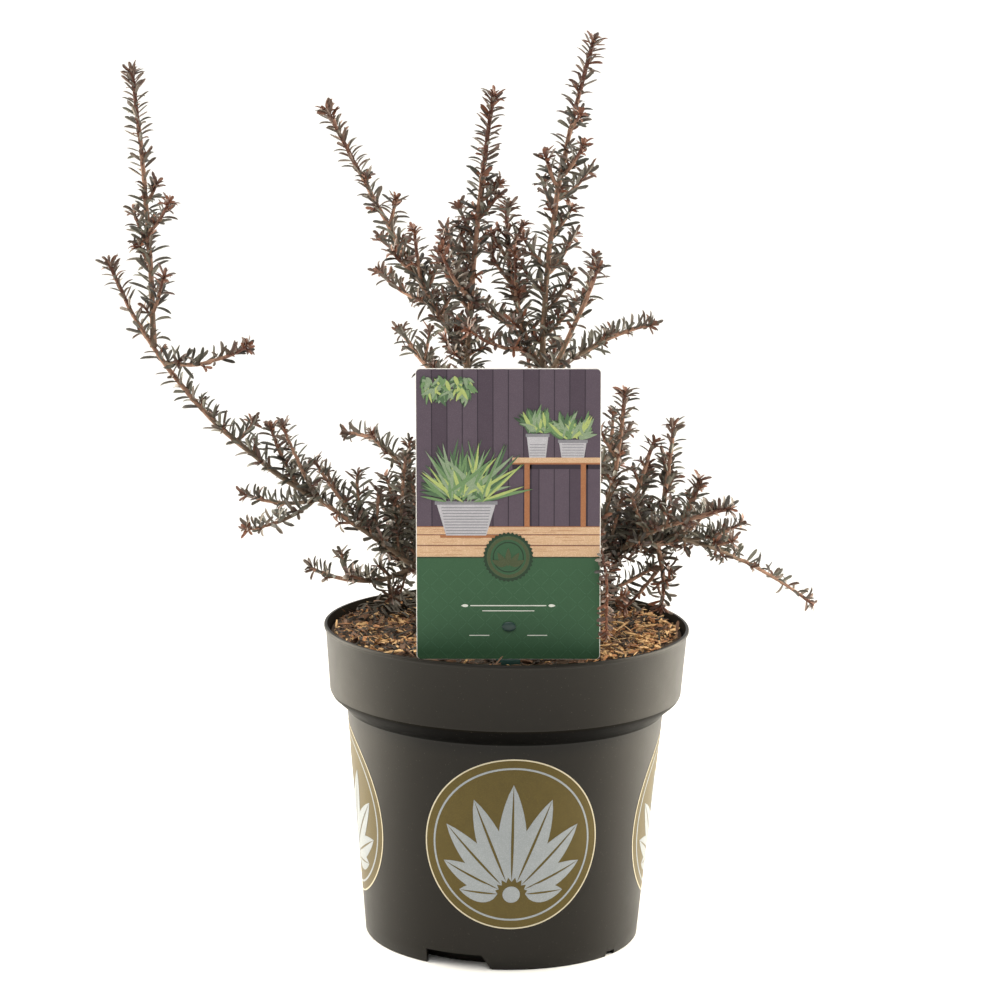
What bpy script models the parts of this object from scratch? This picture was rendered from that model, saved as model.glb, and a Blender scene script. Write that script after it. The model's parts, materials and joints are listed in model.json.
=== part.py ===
"""Potted chocolate box podocarpus, a small evergreen shrub in its nursery pot with its plant label.

Sizes are in millimetres and become metres when a mesh is made. The origin is the middle of the pot's
underside, +Z is up, +X is to the right of the label and -Y is the side that the label faces.
"""

import math
import random
from collections import namedtuple

import bmesh
import bpy
import numpy as np
from mathutils import Matrix, Vector

MM = 0.001
CLEARANCE = 0.3
UP = Vector((0.0, 0.0, 1.0))

# Pot: a thin turned wall with a raised rain groove behind its foot ring
POT_HEIGHT = 165.0
RIM_RADIUS = 95.0
BAND_TOP_RADIUS = 94.0
BAND_FOOT_RADIUS = 91.6
BAND_FOOT_Z = 130.5
NECK_RADIUS = 82.6
NECK_Z = 121.0
FOOT_RADIUS = 71.6
WALL = 1.6
FLOOR = 2.0
GROOVE_HEIGHT = 7.6
GROOVE_INNER_RADIUS = 60.5
POT_STEPS = 32
NOTCHES = 5
NOTCH_FIRST_DEG = 250.0
WIDE_NOTCH = (30.0, 7.6, 5.0)
SMALL_NOTCH = (7.0, 2.6, 0.4)
NOTCH_DEPTH = 10.0
DRAIN_RADIUS = 3.2

# Compost
SOIL = 158.0

# Label card and the stake that carries it
CARD_WIDTH = 92.0
CARD_HEIGHT = 147.5
CARD_THICKNESS = 0.8
CARD_CORNER = 2.2
CARD_FOOT = Vector((1.0, -68.0, 162.0))
CARD_TURN_DEG = 1.0
STAKE_WIDTH = 12.0
STAKE_THICKNESS = 2.0
STAKE_TOP_Z = 206.0
STAKE_POINT_Z = 78.0
STAKE_TAPER = 22.0
STAKE_POINT_SHARE = 0.25
PEG_Z = 179.0
PEG_SIZE = (7.0, 5.0)
HOOK_SIZE = (12.0, 3.0)
HEAD_THICKNESS = 1.2
STAKE_HALF_DEPTH = 3.5

# Trunk
TRUNK_TIP = (-2.0, 1.0, 190.0)
TRUNK_THICK = 5.6
TRUNK_THIN = 4.0
TRUNK_FLARE = 3.2
TRUNK_SUNK = 7.0

# Shoots and leaves
BOUGH_SIDES = 6
BOUGH_STEPS = 7
TWIG_SIDES = 3
STEM_STEPS = 7
TWIG_STEPS = 2
STEM_THICK = 1.5
STEM_THIN = 0.8
TWIG_THICK = 1.1
TWIG_THIN = 0.7
TWIG_SAG = 0.07
FOOT_REACH = 24.0
STEM_BARE = 7.0
TWIG_BARE = 4.0
SPUR_LEAN_DEG = 48.0
SPUR_LIFT = 0.35
SPUR_FROM = 0.3
SPUR_RUN = 0.5
SPUR_LENGTHS = (16.0, 32.0)
LEAF_SPACING = 11.0
LEAF_LENGTH = 16.0
TIP_LEAF_LENGTH = 11.5
LEAF_HALF_WIDTH = 2.0
LEAF_HALF_THICKNESS = 0.5
LEAF_WIDEST = 0.42
LEAF_LEAN_DEG = 58.0
LEAF_LEAN_SPREAD = 8.0
LEAF_TURN_SPREAD = 0.3
LEAF_SIZE_SPREAD = 0.1
LEAF_FREE_FROM = 3.0
TUFT_LEAN_DEG = 26.0
TUFT_SUNK = 1.2
LEAF_LIFT = 0.55
GOLDEN_TURN = math.radians(137.5)

Bough = namedtuple("Bough", "parent at tip bow thick thin")
Mass = namedtuple("Mass", "parent at tip bow spurs twigs")

# A limb leaves its parent at a share of the parent's length, ends at its tip, and its middle stands
# off the straight line between them by its bow. Radii go from thick at the foot to thin at the tip.
BOUGHS = {
    "left_bough": Bough("trunk", 0.62, (-52, -11, 200), (0, 0, -4), 2.9, 2.1),
    "left_low_bough": Bough("trunk", 0.42, (-46, 10, 205), (-4, 1, -6), 2.4, 1.7),
    "right_bough": Bough("trunk", 0.55, (84, -2, 213), (0, 0, 5), 2.9, 1.9),
    "front_bough": Bough("trunk", 0.66, (34, -44, 222), (3, -6, -3), 2.3, 1.6),
    "back_left_bough": Bough("trunk", 0.74, (-24, 48, 222), (-1, 2, -5), 2.4, 1.6),
    "back_right_bough": Bough("trunk", 0.86, (22, 52, 240), (1, 3, -5), 2.4, 1.6),
    "upper_left_bough": Bough("trunk", 0.76, (-22, 0, 301), (-12, 0, -8), 3.1, 2.0),
    "upper_right_bough": Bough("trunk", 1.0, (16, -5, 304), (6, 0, 0), 3.2, 2.0),
}

# A twig is where it leaves its stem, its heading in plan, its rise and its length.
MASSES = {
    "left_arm_foliage": Mass(
        "left_bough", 1.0, (-103, -32, 239), (0, 0, 0), 0,
        ((0.22, -173, 50, 58), (0.93, 150, -3, 45), (0.95, -126, -8, 55), (0.88, -127, 54, 54)),
    ),
    "left_outer_foliage": Mass(
        "left_arm_foliage", 1.0, (-205, -30, 356), (-9, -7, -8), 0,
        ((0.3, 60, 25, 18), (0.64, -37, 14, 57)),
    ),
    "left_tall_foliage": Mass(
        "left_outer_foliage", 0.7, (-196, 10, 450), (2, 0, 0), 0,
        ((0.12, -55, 60, 24), (0.36, 132, 53, 22), (0.41, -51, 43, 26)),
    ),
    "left_mid_foliage": Mass(
        "left_low_bough", 1.0, (-88, 50, 258), (8, -3, 14), 1, ((0.3, 94, 56, 27),)
    ),
    "left_bottom_foliage": Mass("left_low_bough", 0.85, (-107, 40, 184), (0, 0, -9), 2, ()),
    "upper_left_foliage": Mass(
        "upper_left_bough", 1.0, (-101, 75, 427), (0, 7, -4), 0,
        ((0.25, 130, 15, 47), (0.33, -112, 70, 31), (0.46, 131, 14, 20)),
    ),
    "upper_left_low_foliage": Mass("upper_left_bough", 0.9, (-60, 45, 313), (-2, -2, -2), 1, ()),
    "upper_centre_foliage": Mass(
        "upper_left_bough", 0.96, (-11, -45, 445), (-2, -7, -1), 0,
        ((0.3, -117, 39, 43), (0.42, 117, 23, 36)),
    ),
    "upper_middle_foliage": Mass(
        "upper_right_bough", 0.94, (-4, 18, 384), (-6, -3, 0), 0,
        ((0.16, -132, 16, 49), (0.28, 125, 14, 50), (0.4, -98, 64, 34)),
    ),
    "upper_right_foliage": Mass(
        "upper_right_bough", 1.0, (38, -50, 473), (-6, -2, 0), 0,
        (
            (0.28, 61, 32, 34), (0.47, 112, 43, 22), (0.51, 55, 24, 32),
            (0.55, -118, 49, 23), (0.58, -57, 42, 27), (0.74, -68, 33, 13),
        ),
    ),
    "upper_inner_foliage": Mass("upper_right_bough", 0.88, (43, -55, 361), (0, -6, -2), 1, ()),
    "right_level_foliage": Mass(
        "upper_right_bough", 0.9, (75, 25, 321), (-1, 0, 5), 0, ((0.38, 50, 19, 25),)
    ),
    "right_front_tall_foliage": Mass("right_bough", 0.52, (58, -35, 296), (2, -12, 0), 2, ()),
    "right_mid_tall_foliage": Mass("right_bough", 0.74, (75, 0, 265), (-3, -6, 0), 1, ()),
    "right_back_tall_foliage": Mass("right_bough", 0.93, (85, 10, 273), (0, -6, 0), 1, ()),
    "right_outer_foliage": Mass(
        "right_bough", 0.66, (113, -55, 239), (-1, -4, 4), 1, ((0.6, 0, 66, 20),)
    ),
    "right_droop_foliage": Mass(
        "right_bough", 1.0, (167, 60, 164), (-1, 6, 5), 0, ((0.1, 15, 14, 32), (0.3, 78, -4, 33))
    ),
    "right_hanging_foliage": Mass("right_bough", 0.9, (81, 15, 169), (3, 4, 1), 1, ()),
    "right_front_foliage": Mass("front_bough", 1.0, (50, -84, 176), (5, -3, 16), 0, ()),
    "right_low_foliage": Mass("trunk", 0.38, (78, 0, 197), (0, -8, -3), 2, ()),
    "front_left_foliage": Mass("upper_left_bough", 0.25, (-25, -56, 290), (0, -8, -6), 2, ()),
    "front_right_foliage": Mass("front_bough", 0.72, (20, -56, 280), (0, -3, 0), 2, ()),
    "front_low_foliage": Mass("front_bough", 0.45, (-22, -58, 212), (0, -4, -3), 2, ()),
    "back_left_foliage": Mass("back_left_bough", 1.0, (-42, 112, 262), (-1, 4, -6), 3, ()),
    "back_low_left_foliage": Mass("back_left_bough", 0.8, (-66, 88, 204), (0, 2, -3), 2, ()),
    "back_foliage": Mass("back_right_bough", 1.0, (14, 122, 290), (0, 4, -6), 3, ()),
    "back_right_foliage": Mass("back_right_bough", 0.75, (66, 104, 252), (2, 0, -6), 3, ()),
    "back_low_right_foliage": Mass("right_bough", 0.36, (60, 80, 214), (0, 2, -3), 2, ()),
    "back_upper_foliage": Mass("upper_right_bough", 0.35, (24, 72, 306), (0, 4, -6), 2, ()),
    "left_back_upper_foliage": Mass("upper_left_bough", 0.4, (-38, 62, 290), (0, 3, -5), 2, ()),
}


def material(name, colour, roughness):
    made = bpy.data.materials.new(name)
    made.use_nodes = True
    shader = made.node_tree.nodes["Principled BSDF"]
    shader.inputs["Base Color"].default_value = (*colour, 1.0)
    shader.inputs["Roughness"].default_value = roughness
    shader.inputs["Metallic"].default_value = 0.0
    return made


def mesh_from(bm, name):
    """The finished mesh, in metres, of a bmesh modelled in millimetres."""
    bmesh.ops.scale(bm, vec=(MM, MM, MM), verts=bm.verts)
    mesh = bpy.data.meshes.new(name)
    bm.to_mesh(mesh)
    bm.free()
    return mesh


def place(name, mesh, collection, finish=None):
    made = bpy.data.objects.new(name, mesh)
    collection.objects.link(made)
    if finish:
        mesh.materials.append(finish)
    return made


def smooth(made):
    made.data.shade_smooth()
    made.data.set_sharp_from_angle(angle=math.radians(40))


def turned(name, profile, collection, finish):
    """A turned solid. The profile runs down its outer side, from its top to its underside."""
    bm = bmesh.new()
    verts = [bm.verts.new((radius, 0.0, z)) for radius, z in profile]
    for above, below in zip(verts, verts[1:]):
        bm.edges.new((above, below))
    made = place(name, mesh_from(bm, name), collection, finish)
    screw = made.modifiers.new("Turn", "SCREW")
    screw.steps = POT_STEPS
    screw.render_steps = POT_STEPS
    screw.use_merge_vertices = True
    screw.merge_threshold = 0.00001
    return made


def box(size, centre):
    bm = bmesh.new()
    bmesh.ops.create_cube(bm, size=1.0)
    bmesh.ops.scale(bm, vec=size, verts=bm.verts)
    bmesh.ops.translate(bm, vec=centre, verts=bm.verts)
    return bm


def cutter(name, bm, collection):
    made = place(name, mesh_from(bm, name), collection)
    made.hide_render = True
    made.display_type = "WIRE"
    return made


def boolean(target, operand, operation):
    """A live Boolean on one object, or on every object of a collection."""
    change = target.modifiers.new(operation.title(), "BOOLEAN")
    change.operation = operation
    change.solver = "EXACT"
    if isinstance(operand, bpy.types.Collection):
        change.operand_type = "COLLECTION"
        change.collection = operand
    else:
        change.object = operand
    return change


def pot_inside():
    """The wall's inner face from the floor's centre up to the lip."""
    return [
        (0.0, FLOOR),
        (GROOVE_INNER_RADIUS - WALL, FLOOR),
        (GROOVE_INNER_RADIUS, GROOVE_HEIGHT + FLOOR),
        (FOOT_RADIUS - WALL + 0.6, GROOVE_HEIGHT + FLOOR),
        (NECK_RADIUS - WALL, NECK_Z - 1.0),
        (BAND_FOOT_RADIUS - WALL - 0.8, BAND_FOOT_Z - 0.6),
        (BAND_TOP_RADIUS - WALL, POT_HEIGHT - 1.5),
    ]


def make_pot(collection, cutters):
    lip = [
        (RIM_RADIUS - 1.6, POT_HEIGHT),
        (RIM_RADIUS - 0.5, POT_HEIGHT - 0.2),
        (RIM_RADIUS, POT_HEIGHT - 1.2),
        (BAND_TOP_RADIUS, POT_HEIGHT - 2.8),
    ]
    outside = [
        (BAND_FOOT_RADIUS, BAND_FOOT_Z),
        (BAND_FOOT_RADIUS - 1.2, BAND_FOOT_Z - 2.2),
        (NECK_RADIUS + 1.6, NECK_Z + 1.9),
        (NECK_RADIUS, NECK_Z),
        (FOOT_RADIUS + 0.6, GROOVE_HEIGHT + 0.4),
        (FOOT_RADIUS, 1.0),
        (FOOT_RADIUS - 0.8, 0.0),
        (FOOT_RADIUS - 2.6, 0.0),
        (FOOT_RADIUS - 2.4, GROOVE_HEIGHT),
        (GROOVE_INNER_RADIUS + 1.2, GROOVE_HEIGHT),
        (GROOVE_INNER_RADIUS - 1.0, 0.0),
        (0.0, 0.0),
    ]
    finish = material("taupe_pot_plastic", (0.085, 0.074, 0.066), 0.42)
    pot = turned("pot", pot_inside() + lip + outside, collection, finish)
    for i in range(NOTCHES):
        turn = math.radians(NOTCH_FIRST_DEG + i * 360.0 / NOTCHES)
        width, height, slant = WIDE_NOTCH if i == 0 else SMALL_NOTCH
        notch = box((NOTCH_DEPTH, width, 2 * height), (FOOT_RADIUS, 0.0, 0.0))
        for vert in notch.verts:
            if vert.co.z < 0 < vert.co.y:
                vert.co.y += 2 * slant
        drain = bmesh.new()
        bmesh.ops.create_cone(
            drain, cap_ends=True, segments=8, radius1=DRAIN_RADIUS, radius2=DRAIN_RADIUS, depth=12.0
        )
        middle = (GROOVE_INNER_RADIUS + FOOT_RADIUS - 1.2) / 2
        bmesh.ops.translate(drain, vec=(middle, 0.0, GROOVE_HEIGHT), verts=drain.verts)
        for name, shape in ((f"notch_{i + 1}", notch), (f"drain_{i + 1}", drain)):
            bmesh.ops.rotate(shape, matrix=Matrix.Rotation(turn, 3, "Z"), verts=shape.verts)
            cutter(name, shape, cutters)
    boolean(pot, cutters, "DIFFERENCE")
    smooth(pot)


def make_compost(collection, pocket_cutters):
    """The root ball's compost, which fills the pot and has a slot for the label's stake."""
    inside = [(max(0.0, r - CLEARANCE), z + CLEARANCE) for r, z in pot_inside()[:-1]]
    top = [(0.0, SOIL), (RIM_RADIUS - 15.0, SOIL), (BAND_TOP_RADIUS - WALL - 1.2, SOIL - 1.5)]
    finish = material("bark_compost", (0.16, 0.085, 0.04), 0.95)
    compost = turned("compost", top + inside[::-1], collection, finish)
    slot = box(
        (STAKE_WIDTH + 2 * CLEARANCE, STAKE_THICKNESS + 2 * CLEARANCE, SOIL - STAKE_POINT_Z + 10.0),
        (CARD_FOOT.x, stake_y(), (SOIL + STAKE_POINT_Z + 10.0) / 2 - CLEARANCE),
    )
    boolean(compost, cutter("stake_slot", slot, pocket_cutters), "DIFFERENCE")
    smooth(compost)


def stake_y():
    return CARD_FOOT.y + CARD_THICKNESS / 2 + CLEARANCE + STAKE_THICKNESS / 2


def make_card(collection, card_cutters):
    bm = box((CARD_WIDTH, CARD_THICKNESS, CARD_HEIGHT), (0.0, 0.0, CARD_HEIGHT / 2))
    upright = [e for e in bm.edges if abs(e.verts[0].co.y - e.verts[1].co.y) > CARD_THICKNESS / 2]
    bmesh.ops.bevel(
        bm, geom=upright, offset=CARD_CORNER, segments=4, profile=0.5, affect="EDGES", material=-1
    )
    bmesh.ops.rotate(bm, matrix=Matrix.Rotation(math.radians(-CARD_TURN_DEG), 3, "Y"), verts=bm.verts)
    bmesh.ops.translate(bm, vec=CARD_FOOT, verts=bm.verts)
    finish = material("printed_card", (0.02, 0.1, 0.06), 0.4)
    card = place("label_card", mesh_from(bm, "label_card"), collection, finish)
    wide, high = PEG_SIZE
    hole = box((wide - 1.4, 6.0, high - 1.0), (CARD_FOOT.x, CARD_FOOT.y, PEG_Z))
    boolean(card, cutter("peg_hole", hole, card_cutters), "DIFFERENCE")


def make_stake(collection, stake_parts):
    """A flat pointed stake behind the card, with a peg through it and a hook under its lower edge."""
    high = STAKE_TOP_Z - STAKE_POINT_Z
    middle = (STAKE_TOP_Z + STAKE_POINT_Z) / 2
    bm = box((STAKE_WIDTH, STAKE_THICKNESS, high), (CARD_FOOT.x, stake_y(), middle))
    everything = bm.verts[:] + bm.edges[:] + bm.faces[:]
    shoulder = (0.0, 0.0, STAKE_POINT_Z + STAKE_TAPER)
    bmesh.ops.bisect_plane(bm, geom=everything, plane_co=shoulder, plane_no=UP)
    for vert in bm.verts:
        if vert.co.z < STAKE_POINT_Z + 1.0:
            vert.co.x = CARD_FOOT.x + (vert.co.x - CARD_FOOT.x) * STAKE_POINT_SHARE
    finish = material("dark_green_plastic", (0.01, 0.05, 0.04), 0.35)
    stake = place("label_stake", mesh_from(bm, "label_stake"), collection, finish)
    front = CARD_FOOT.y - CARD_THICKNESS / 2 - CLEARANCE - HEAD_THICKNESS / 2
    back = stake_y()
    depth = back - front
    wide, high = PEG_SIZE
    hook_wide, hook_high = HOOK_SIZE
    hook_z = CARD_FOOT.z - CLEARANCE - 1.5
    pieces = (
        ("peg", (wide - 2.0, depth, high - 1.6), (front + back) / 2, PEG_Z),
        ("peg_head", (wide, HEAD_THICKNESS, high), front, PEG_Z),
        ("hook", (hook_wide - 2.0, depth, 2.0), (front + back) / 2, hook_z - 0.6),
        ("hook_lip", (hook_wide, HEAD_THICKNESS, hook_high), front, hook_z + 0.5),
    )
    for name, size, y, z in pieces:
        cutter(name, box(size, (CARD_FOOT.x, y, z)), stake_parts)
    boolean(stake, stake_parts, "UNION")


class Limb:
    """One tapering limb on a bent line, cut at its foot by a plane just clear of what carries it."""

    def __init__(self, start, tip, bow, thick, thin, steps, plane=None, flare=0.0):
        self.start = Vector(start)
        self.tip = Vector(tip)
        self.bow = Vector(bow)
        self.thick = thick
        self.thin = thin
        self.steps = steps
        self.plane = plane
        self.flare = flare
        self.length = (self.tip - self.start).length

    def point(self, t):
        return self.start.lerp(self.tip, t) + self.bow * (4.0 * t * (1.0 - t))

    def seat(self, t):
        """A point on the straight runs between the solid's rings, where a leaf or twig is rooted."""
        ring = min(int(t * self.steps), self.steps - 1)
        low, high = self.point(ring / self.steps), self.point((ring + 1) / self.steps)
        return low.lerp(high, t * self.steps - ring)

    def tangent(self, t):
        return (self.tip - self.start + self.bow * (4.0 * (1.0 - 2.0 * t))).normalized()

    def radius(self, t):
        flare = self.flare * max(0.0, 1.0 - t * 4.0) ** 2
        return self.thick + (self.thin - self.thick) * t + flare

    def frames(self):
        """A frame for each ring: its Z runs along the limb, and it turns no more than it has to."""
        turn = self.tangent(0.0).to_track_quat("Z", "Y")
        before = self.tangent(0.0)
        for i in range(self.steps + 1):
            t = i / self.steps
            ahead = self.tangent(t)
            turn = before.rotation_difference(ahead) @ turn
            before = ahead
            size = Matrix.Diagonal((self.radius(t),) * 3).to_4x4()
            yield Matrix.Translation(self.point(t)) @ turn.to_matrix().to_4x4() @ size

    def solid(self, sides):
        bm = bmesh.new()
        bmesh.ops.create_circle(bm, cap_ends=True, radius=1.0, segments=sides)
        cap = bm.faces[:][0]
        frame = Matrix.Identity(4)
        for i, ring in enumerate(self.frames()):
            if i:
                grown = bmesh.ops.extrude_face_region(bm, geom=[cap])["geom"]
                if i > 1:
                    bmesh.ops.delete(bm, geom=[cap], context="FACES_ONLY")
                cap = next(g for g in grown if isinstance(g, bmesh.types.BMFace))
            bmesh.ops.transform(bm, matrix=ring @ frame.inverted(), verts=cap.verts[:])
            frame = ring
        if self.plane:
            point, normal = self.plane
            near = [v for v in bm.verts if (v.co - self.start).length < FOOT_REACH]
            edges = {edge for vert in near for edge in vert.link_edges}
            faces = {face for vert in near for face in vert.link_faces}
            bmesh.ops.bisect_plane(
                bm, geom=[*near, *edges, *faces], dist=1e-5, plane_co=point, plane_no=normal, clear_inner=True
            )
            rim = [e for e in bm.edges if e.is_boundary]
            bmesh.ops.edgeloop_fill(bm, edges=rim)
        bmesh.ops.recalc_face_normals(bm, faces=bm.faces)
        return bm

    def capsules(self):
        """The limb as (from, to, radius) stretches, for keeping other shoots clear of it."""
        for i in range(self.steps):
            low, high = i / self.steps, (i + 1) / self.steps
            yield self.point(low), self.point(high), self.radius(low)


def branch(parent, at, tip, bow, thick, thin, steps):
    """A limb that starts on its parent's line, and is cut off just outside the parent's skin."""
    start = parent.point(at)
    along = parent.tangent(at)
    if at >= 1.0:
        return Limb(start, tip, bow, thick, thin, steps, (start + along * CLEARANCE, along))
    leaving = Vector(tip) - start + Vector(bow) * 4.0
    out = (leaving - along * leaving.dot(along)).normalized()
    skin = start + out * (parent.radius(at) + CLEARANCE)
    return Limb(start, tip, bow, thick, thin, steps, (skin, out))


def direction(heading_deg, rise_deg):
    heading, rise = math.radians(heading_deg), math.radians(rise_deg)
    return Vector(
        (math.cos(rise) * math.cos(heading), math.cos(rise) * math.sin(heading), math.sin(rise))
    )


def around(tangent, turn):
    """A unit vector square to the tangent, turned about it."""
    side = tangent.orthogonal().normalized()
    return side * math.cos(turn) + tangent.cross(side) * math.sin(turn)


def twigs_of(name, mass, stem):
    """The mass's own twigs, then the short spurs that the seeded rule adds between them."""
    for at, heading, rise, length in mass.twigs:
        way = direction(heading, rise)
        yield within(stem, at, way, length)
    dice = random.Random(name)
    for i in range(mass.spurs):
        at = SPUR_FROM + SPUR_RUN * (i + dice.uniform(0.2, 0.8)) / mass.spurs
        out = around(stem.tangent(at), i * GOLDEN_TURN + dice.uniform(0.0, 1.0))
        lean = math.radians(SPUR_LEAN_DEG)
        way = stem.tangent(at) * math.cos(lean) + out * math.sin(lean) + UP * SPUR_LIFT
        yield within(stem, at, way.normalized(), dice.uniform(*SPUR_LENGTHS))


def within(stem, at, way, length):
    """A twig of the same mass: it starts on its stem's line, and nothing cuts it there."""
    start = stem.seat(at)
    sag = UP * (-TWIG_SAG * length)
    return Limb(start, start + way * length, sag, TWIG_THICK, TWIG_THIN, TWIG_STEPS)


def leaves_of(limb, first, tuft, dice):
    """Where each leaf of a shoot stands: its root, its direction, its blade's width and its length."""
    count = max(1, round((limb.length - first) / LEAF_SPACING))
    for k in range(count):
        t = (first + (k + 0.5) * (limb.length - first) / count) / limb.length
        ahead = limb.tangent(t)
        out = around(ahead, k * GOLDEN_TURN + dice.uniform(-LEAF_TURN_SPREAD, LEAF_TURN_SPREAD))
        lean = math.radians(LEAF_LEAN_DEG + dice.uniform(-LEAF_LEAN_SPREAD, LEAF_LEAN_SPREAD))
        level = math.hypot(ahead.x, ahead.y)
        way = ahead * math.cos(lean) + out * math.sin(lean) + UP * (LEAF_LIFT * level)
        way.normalize()
        size = LEAF_LENGTH + (TIP_LEAF_LENGTH - LEAF_LENGTH) * t * t
        size *= dice.uniform(1.0 - LEAF_SIZE_SPREAD, 1.0 + LEAF_SIZE_SPREAD)
        yield limb.seat(t), way, ahead.cross(way), size
    ahead = limb.tangent(1.0)
    for k in range(tuft):
        out = around(ahead, k * math.tau / tuft)
        lean = math.radians(TUFT_LEAN_DEG)
        way = ahead * math.cos(lean) + out * math.sin(lean)
        yield limb.point(1.0) - ahead * TUFT_SUNK, way, ahead.cross(way), TIP_LEAF_LENGTH


def leaf_mesh():
    """A blade of eight faces that runs up Z from its root, 1 mm long, to be stretched."""
    bm = bmesh.new()
    bmesh.ops.create_uvsphere(bm, u_segments=4, v_segments=2, radius=1.0)
    for vert in bm.verts:
        if abs(vert.co.z) < 0.5:
            vert.co.z = LEAF_WIDEST
        else:
            vert.co.z = max(0.0, vert.co.z)
    mesh = bpy.data.meshes.new("leaf_blade")
    bm.to_mesh(mesh)
    bm.free()
    return mesh


def leaf_place(root, way, across, length):
    across = across.normalized()
    face = way.cross(across)
    columns = (across * LEAF_HALF_WIDTH, face * LEAF_HALF_THICKNESS, way * length, root)
    placed = Matrix([[*row] for row in zip(*columns)]).to_4x4()
    return Matrix.Diagonal((MM, MM, MM, 1.0)) @ placed


class Room:
    """The space that is taken: stretches of limbs and leaves, the label, the rim and the compost."""

    def __init__(self):
        self.rows = []
        self.owners = []

    def take(self, owner, stretches):
        for start, end, radius in stretches:
            self.rows.append((*start, *end, radius))
            self.owners.append(owner)

    def clear(self, owner, start, end, radius):
        """Whether a stretch keeps its distance from all that other nodes hold."""
        share = np.linspace(0.0, 1.0, 6)[:, None]
        points = np.array(start) * (1.0 - share) + np.array(end) * share
        if not all(clear_of_made_things(*point) for point in points):
            return False
        others = np.array(self.rows)[[o != owner for o in self.owners]]
        foot, run = others[:, 0:3], others[:, 3:6] - others[:, 0:3]
        from_foot = points[:, None, :] - foot
        along = (from_foot * run).sum(2) / np.maximum((run * run).sum(1), 1e-9)
        nearest = from_foot - np.clip(along, 0.0, 1.0)[:, :, None] * run
        apart = np.linalg.norm(nearest, axis=2) - others[:, 6]
        return apart.min() > radius + CLEARANCE


def clear_of_made_things(x, y, z):
    """Whether a leaf's width at this point stays off the compost, the pot's rim, the card and stake."""
    reach = LEAF_HALF_WIDTH + CLEARANCE
    if z < SOIL + reach:
        return False
    if z < POT_HEIGHT + reach and math.hypot(x, y) > BAND_TOP_RADIUS - WALL - reach:
        return False
    from_middle = abs(x - CARD_FOOT.x + (z - CARD_FOOT.z) * math.tan(math.radians(CARD_TURN_DEG)))
    half_depth = STAKE_HALF_DEPTH if from_middle < STAKE_WIDTH else CARD_THICKNESS / 2
    across = from_middle < CARD_WIDTH / 2 + reach
    below_top = z < CARD_FOOT.z + CARD_HEIGHT + 1.0 + reach
    in_plane = abs(y - CARD_FOOT.y) < half_depth + reach
    return not (across and below_top and in_plane)


def fuse(name, stem, pieces, collection, finish):
    """One mass: a Boolean union joins its stem with all its twigs and leaves."""
    mass = place(name, mesh_from(stem, name), collection, finish)
    loose = bpy.data.collections.new(name + "_parts")
    bpy.context.scene.collection.children.link(loose)
    for i, (mesh, matrix) in enumerate(pieces):
        piece = place(f"{name}_part_{i + 1}", mesh, loose)
        piece.matrix_world = matrix
    union = boolean(mass, loose, "UNION")
    joined = evaluated_mesh(mass)
    if not is_closed(joined):
        union.solver = "MANIFOLD"
        joined = evaluated_mesh(mass)
    mass.modifiers.remove(union)
    mass.data = joined
    joined.name = name
    for piece in loose.objects[:]:
        bpy.data.objects.remove(piece)
    bpy.data.collections.remove(loose)


def evaluated_mesh(made):
    graph = bpy.context.evaluated_depsgraph_get()
    return bpy.data.meshes.new_from_object(made.evaluated_get(graph))


def is_closed(mesh):
    bm = bmesh.new()
    bm.from_mesh(mesh)
    closed = all(edge.is_manifold for edge in bm.edges)
    bm.free()
    return closed


def make_plant(collection):
    bark = material("grey_brown_bark", (0.13, 0.085, 0.055), 0.85)
    leafy = material("bronze_green_leaf", (0.035, 0.03, 0.026), 0.5)
    ground = Vector((0.0, 0.0, SOIL + CLEARANCE))
    trunk = Limb(
        (0.0, 0.0, SOIL - TRUNK_SUNK), TRUNK_TIP, (1.5, 0.0, 0.0), TRUNK_THICK, TRUNK_THIN,
        BOUGH_STEPS, (ground, UP), TRUNK_FLARE,
    )
    limbs = {"trunk": trunk}
    for name, row in BOUGHS.items():
        parent = limbs[row.parent]
        limbs[name] = branch(parent, row.at, row.tip, row.bow, row.thick, row.thin, BOUGH_STEPS)
    for name, limb in limbs.items():
        made = place(name, mesh_from(limb.solid(BOUGH_SIDES), name), collection, bark)
        smooth(made)

    room = Room()
    for name, limb in limbs.items():
        room.take(name, limb.capsules())
    for name, mass in MASSES.items():
        parent = limbs[mass.parent]
        stem = branch(parent, mass.at, mass.tip, mass.bow, STEM_THICK, STEM_THIN, STEM_STEPS)
        room.take(name, stem.capsules())
        limbs[name] = stem

    shoots = {}
    for name, mass in MASSES.items():
        shoots[name] = []
        for twig in twigs_of(name, mass, limbs[name]):
            stretches = list(twig.capsules())
            if all(room.clear(name, *stretch) for stretch in stretches):
                shoots[name].append(twig)
                room.take(name, stretches)

    blade = leaf_mesh()
    for name in MASSES:
        stem = limbs[name]
        dice = random.Random(name + " leaves")
        pieces = []
        for number, limb in enumerate([stem] + shoots[name]):
            if number:
                twig = mesh_from(limb.solid(TWIG_SIDES), f"{name}_twig_{number}")
                pieces.append((twig, Matrix.Identity(4)))
            first, tuft = (TWIG_BARE, 2) if number else (STEM_BARE, 3)
            for root, way, across, length in leaves_of(limb, first, tuft, dice):
                tip = root + way * length
                if room.clear(name, root + way * LEAF_FREE_FROM, tip, LEAF_HALF_WIDTH):
                    room.take(name, [(root, tip, LEAF_HALF_WIDTH)])
                    pieces.append((blade, leaf_place(root, way, across, length)))
        fuse(name, stem.solid(TWIG_SIDES), pieces, collection, leafy)


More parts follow.
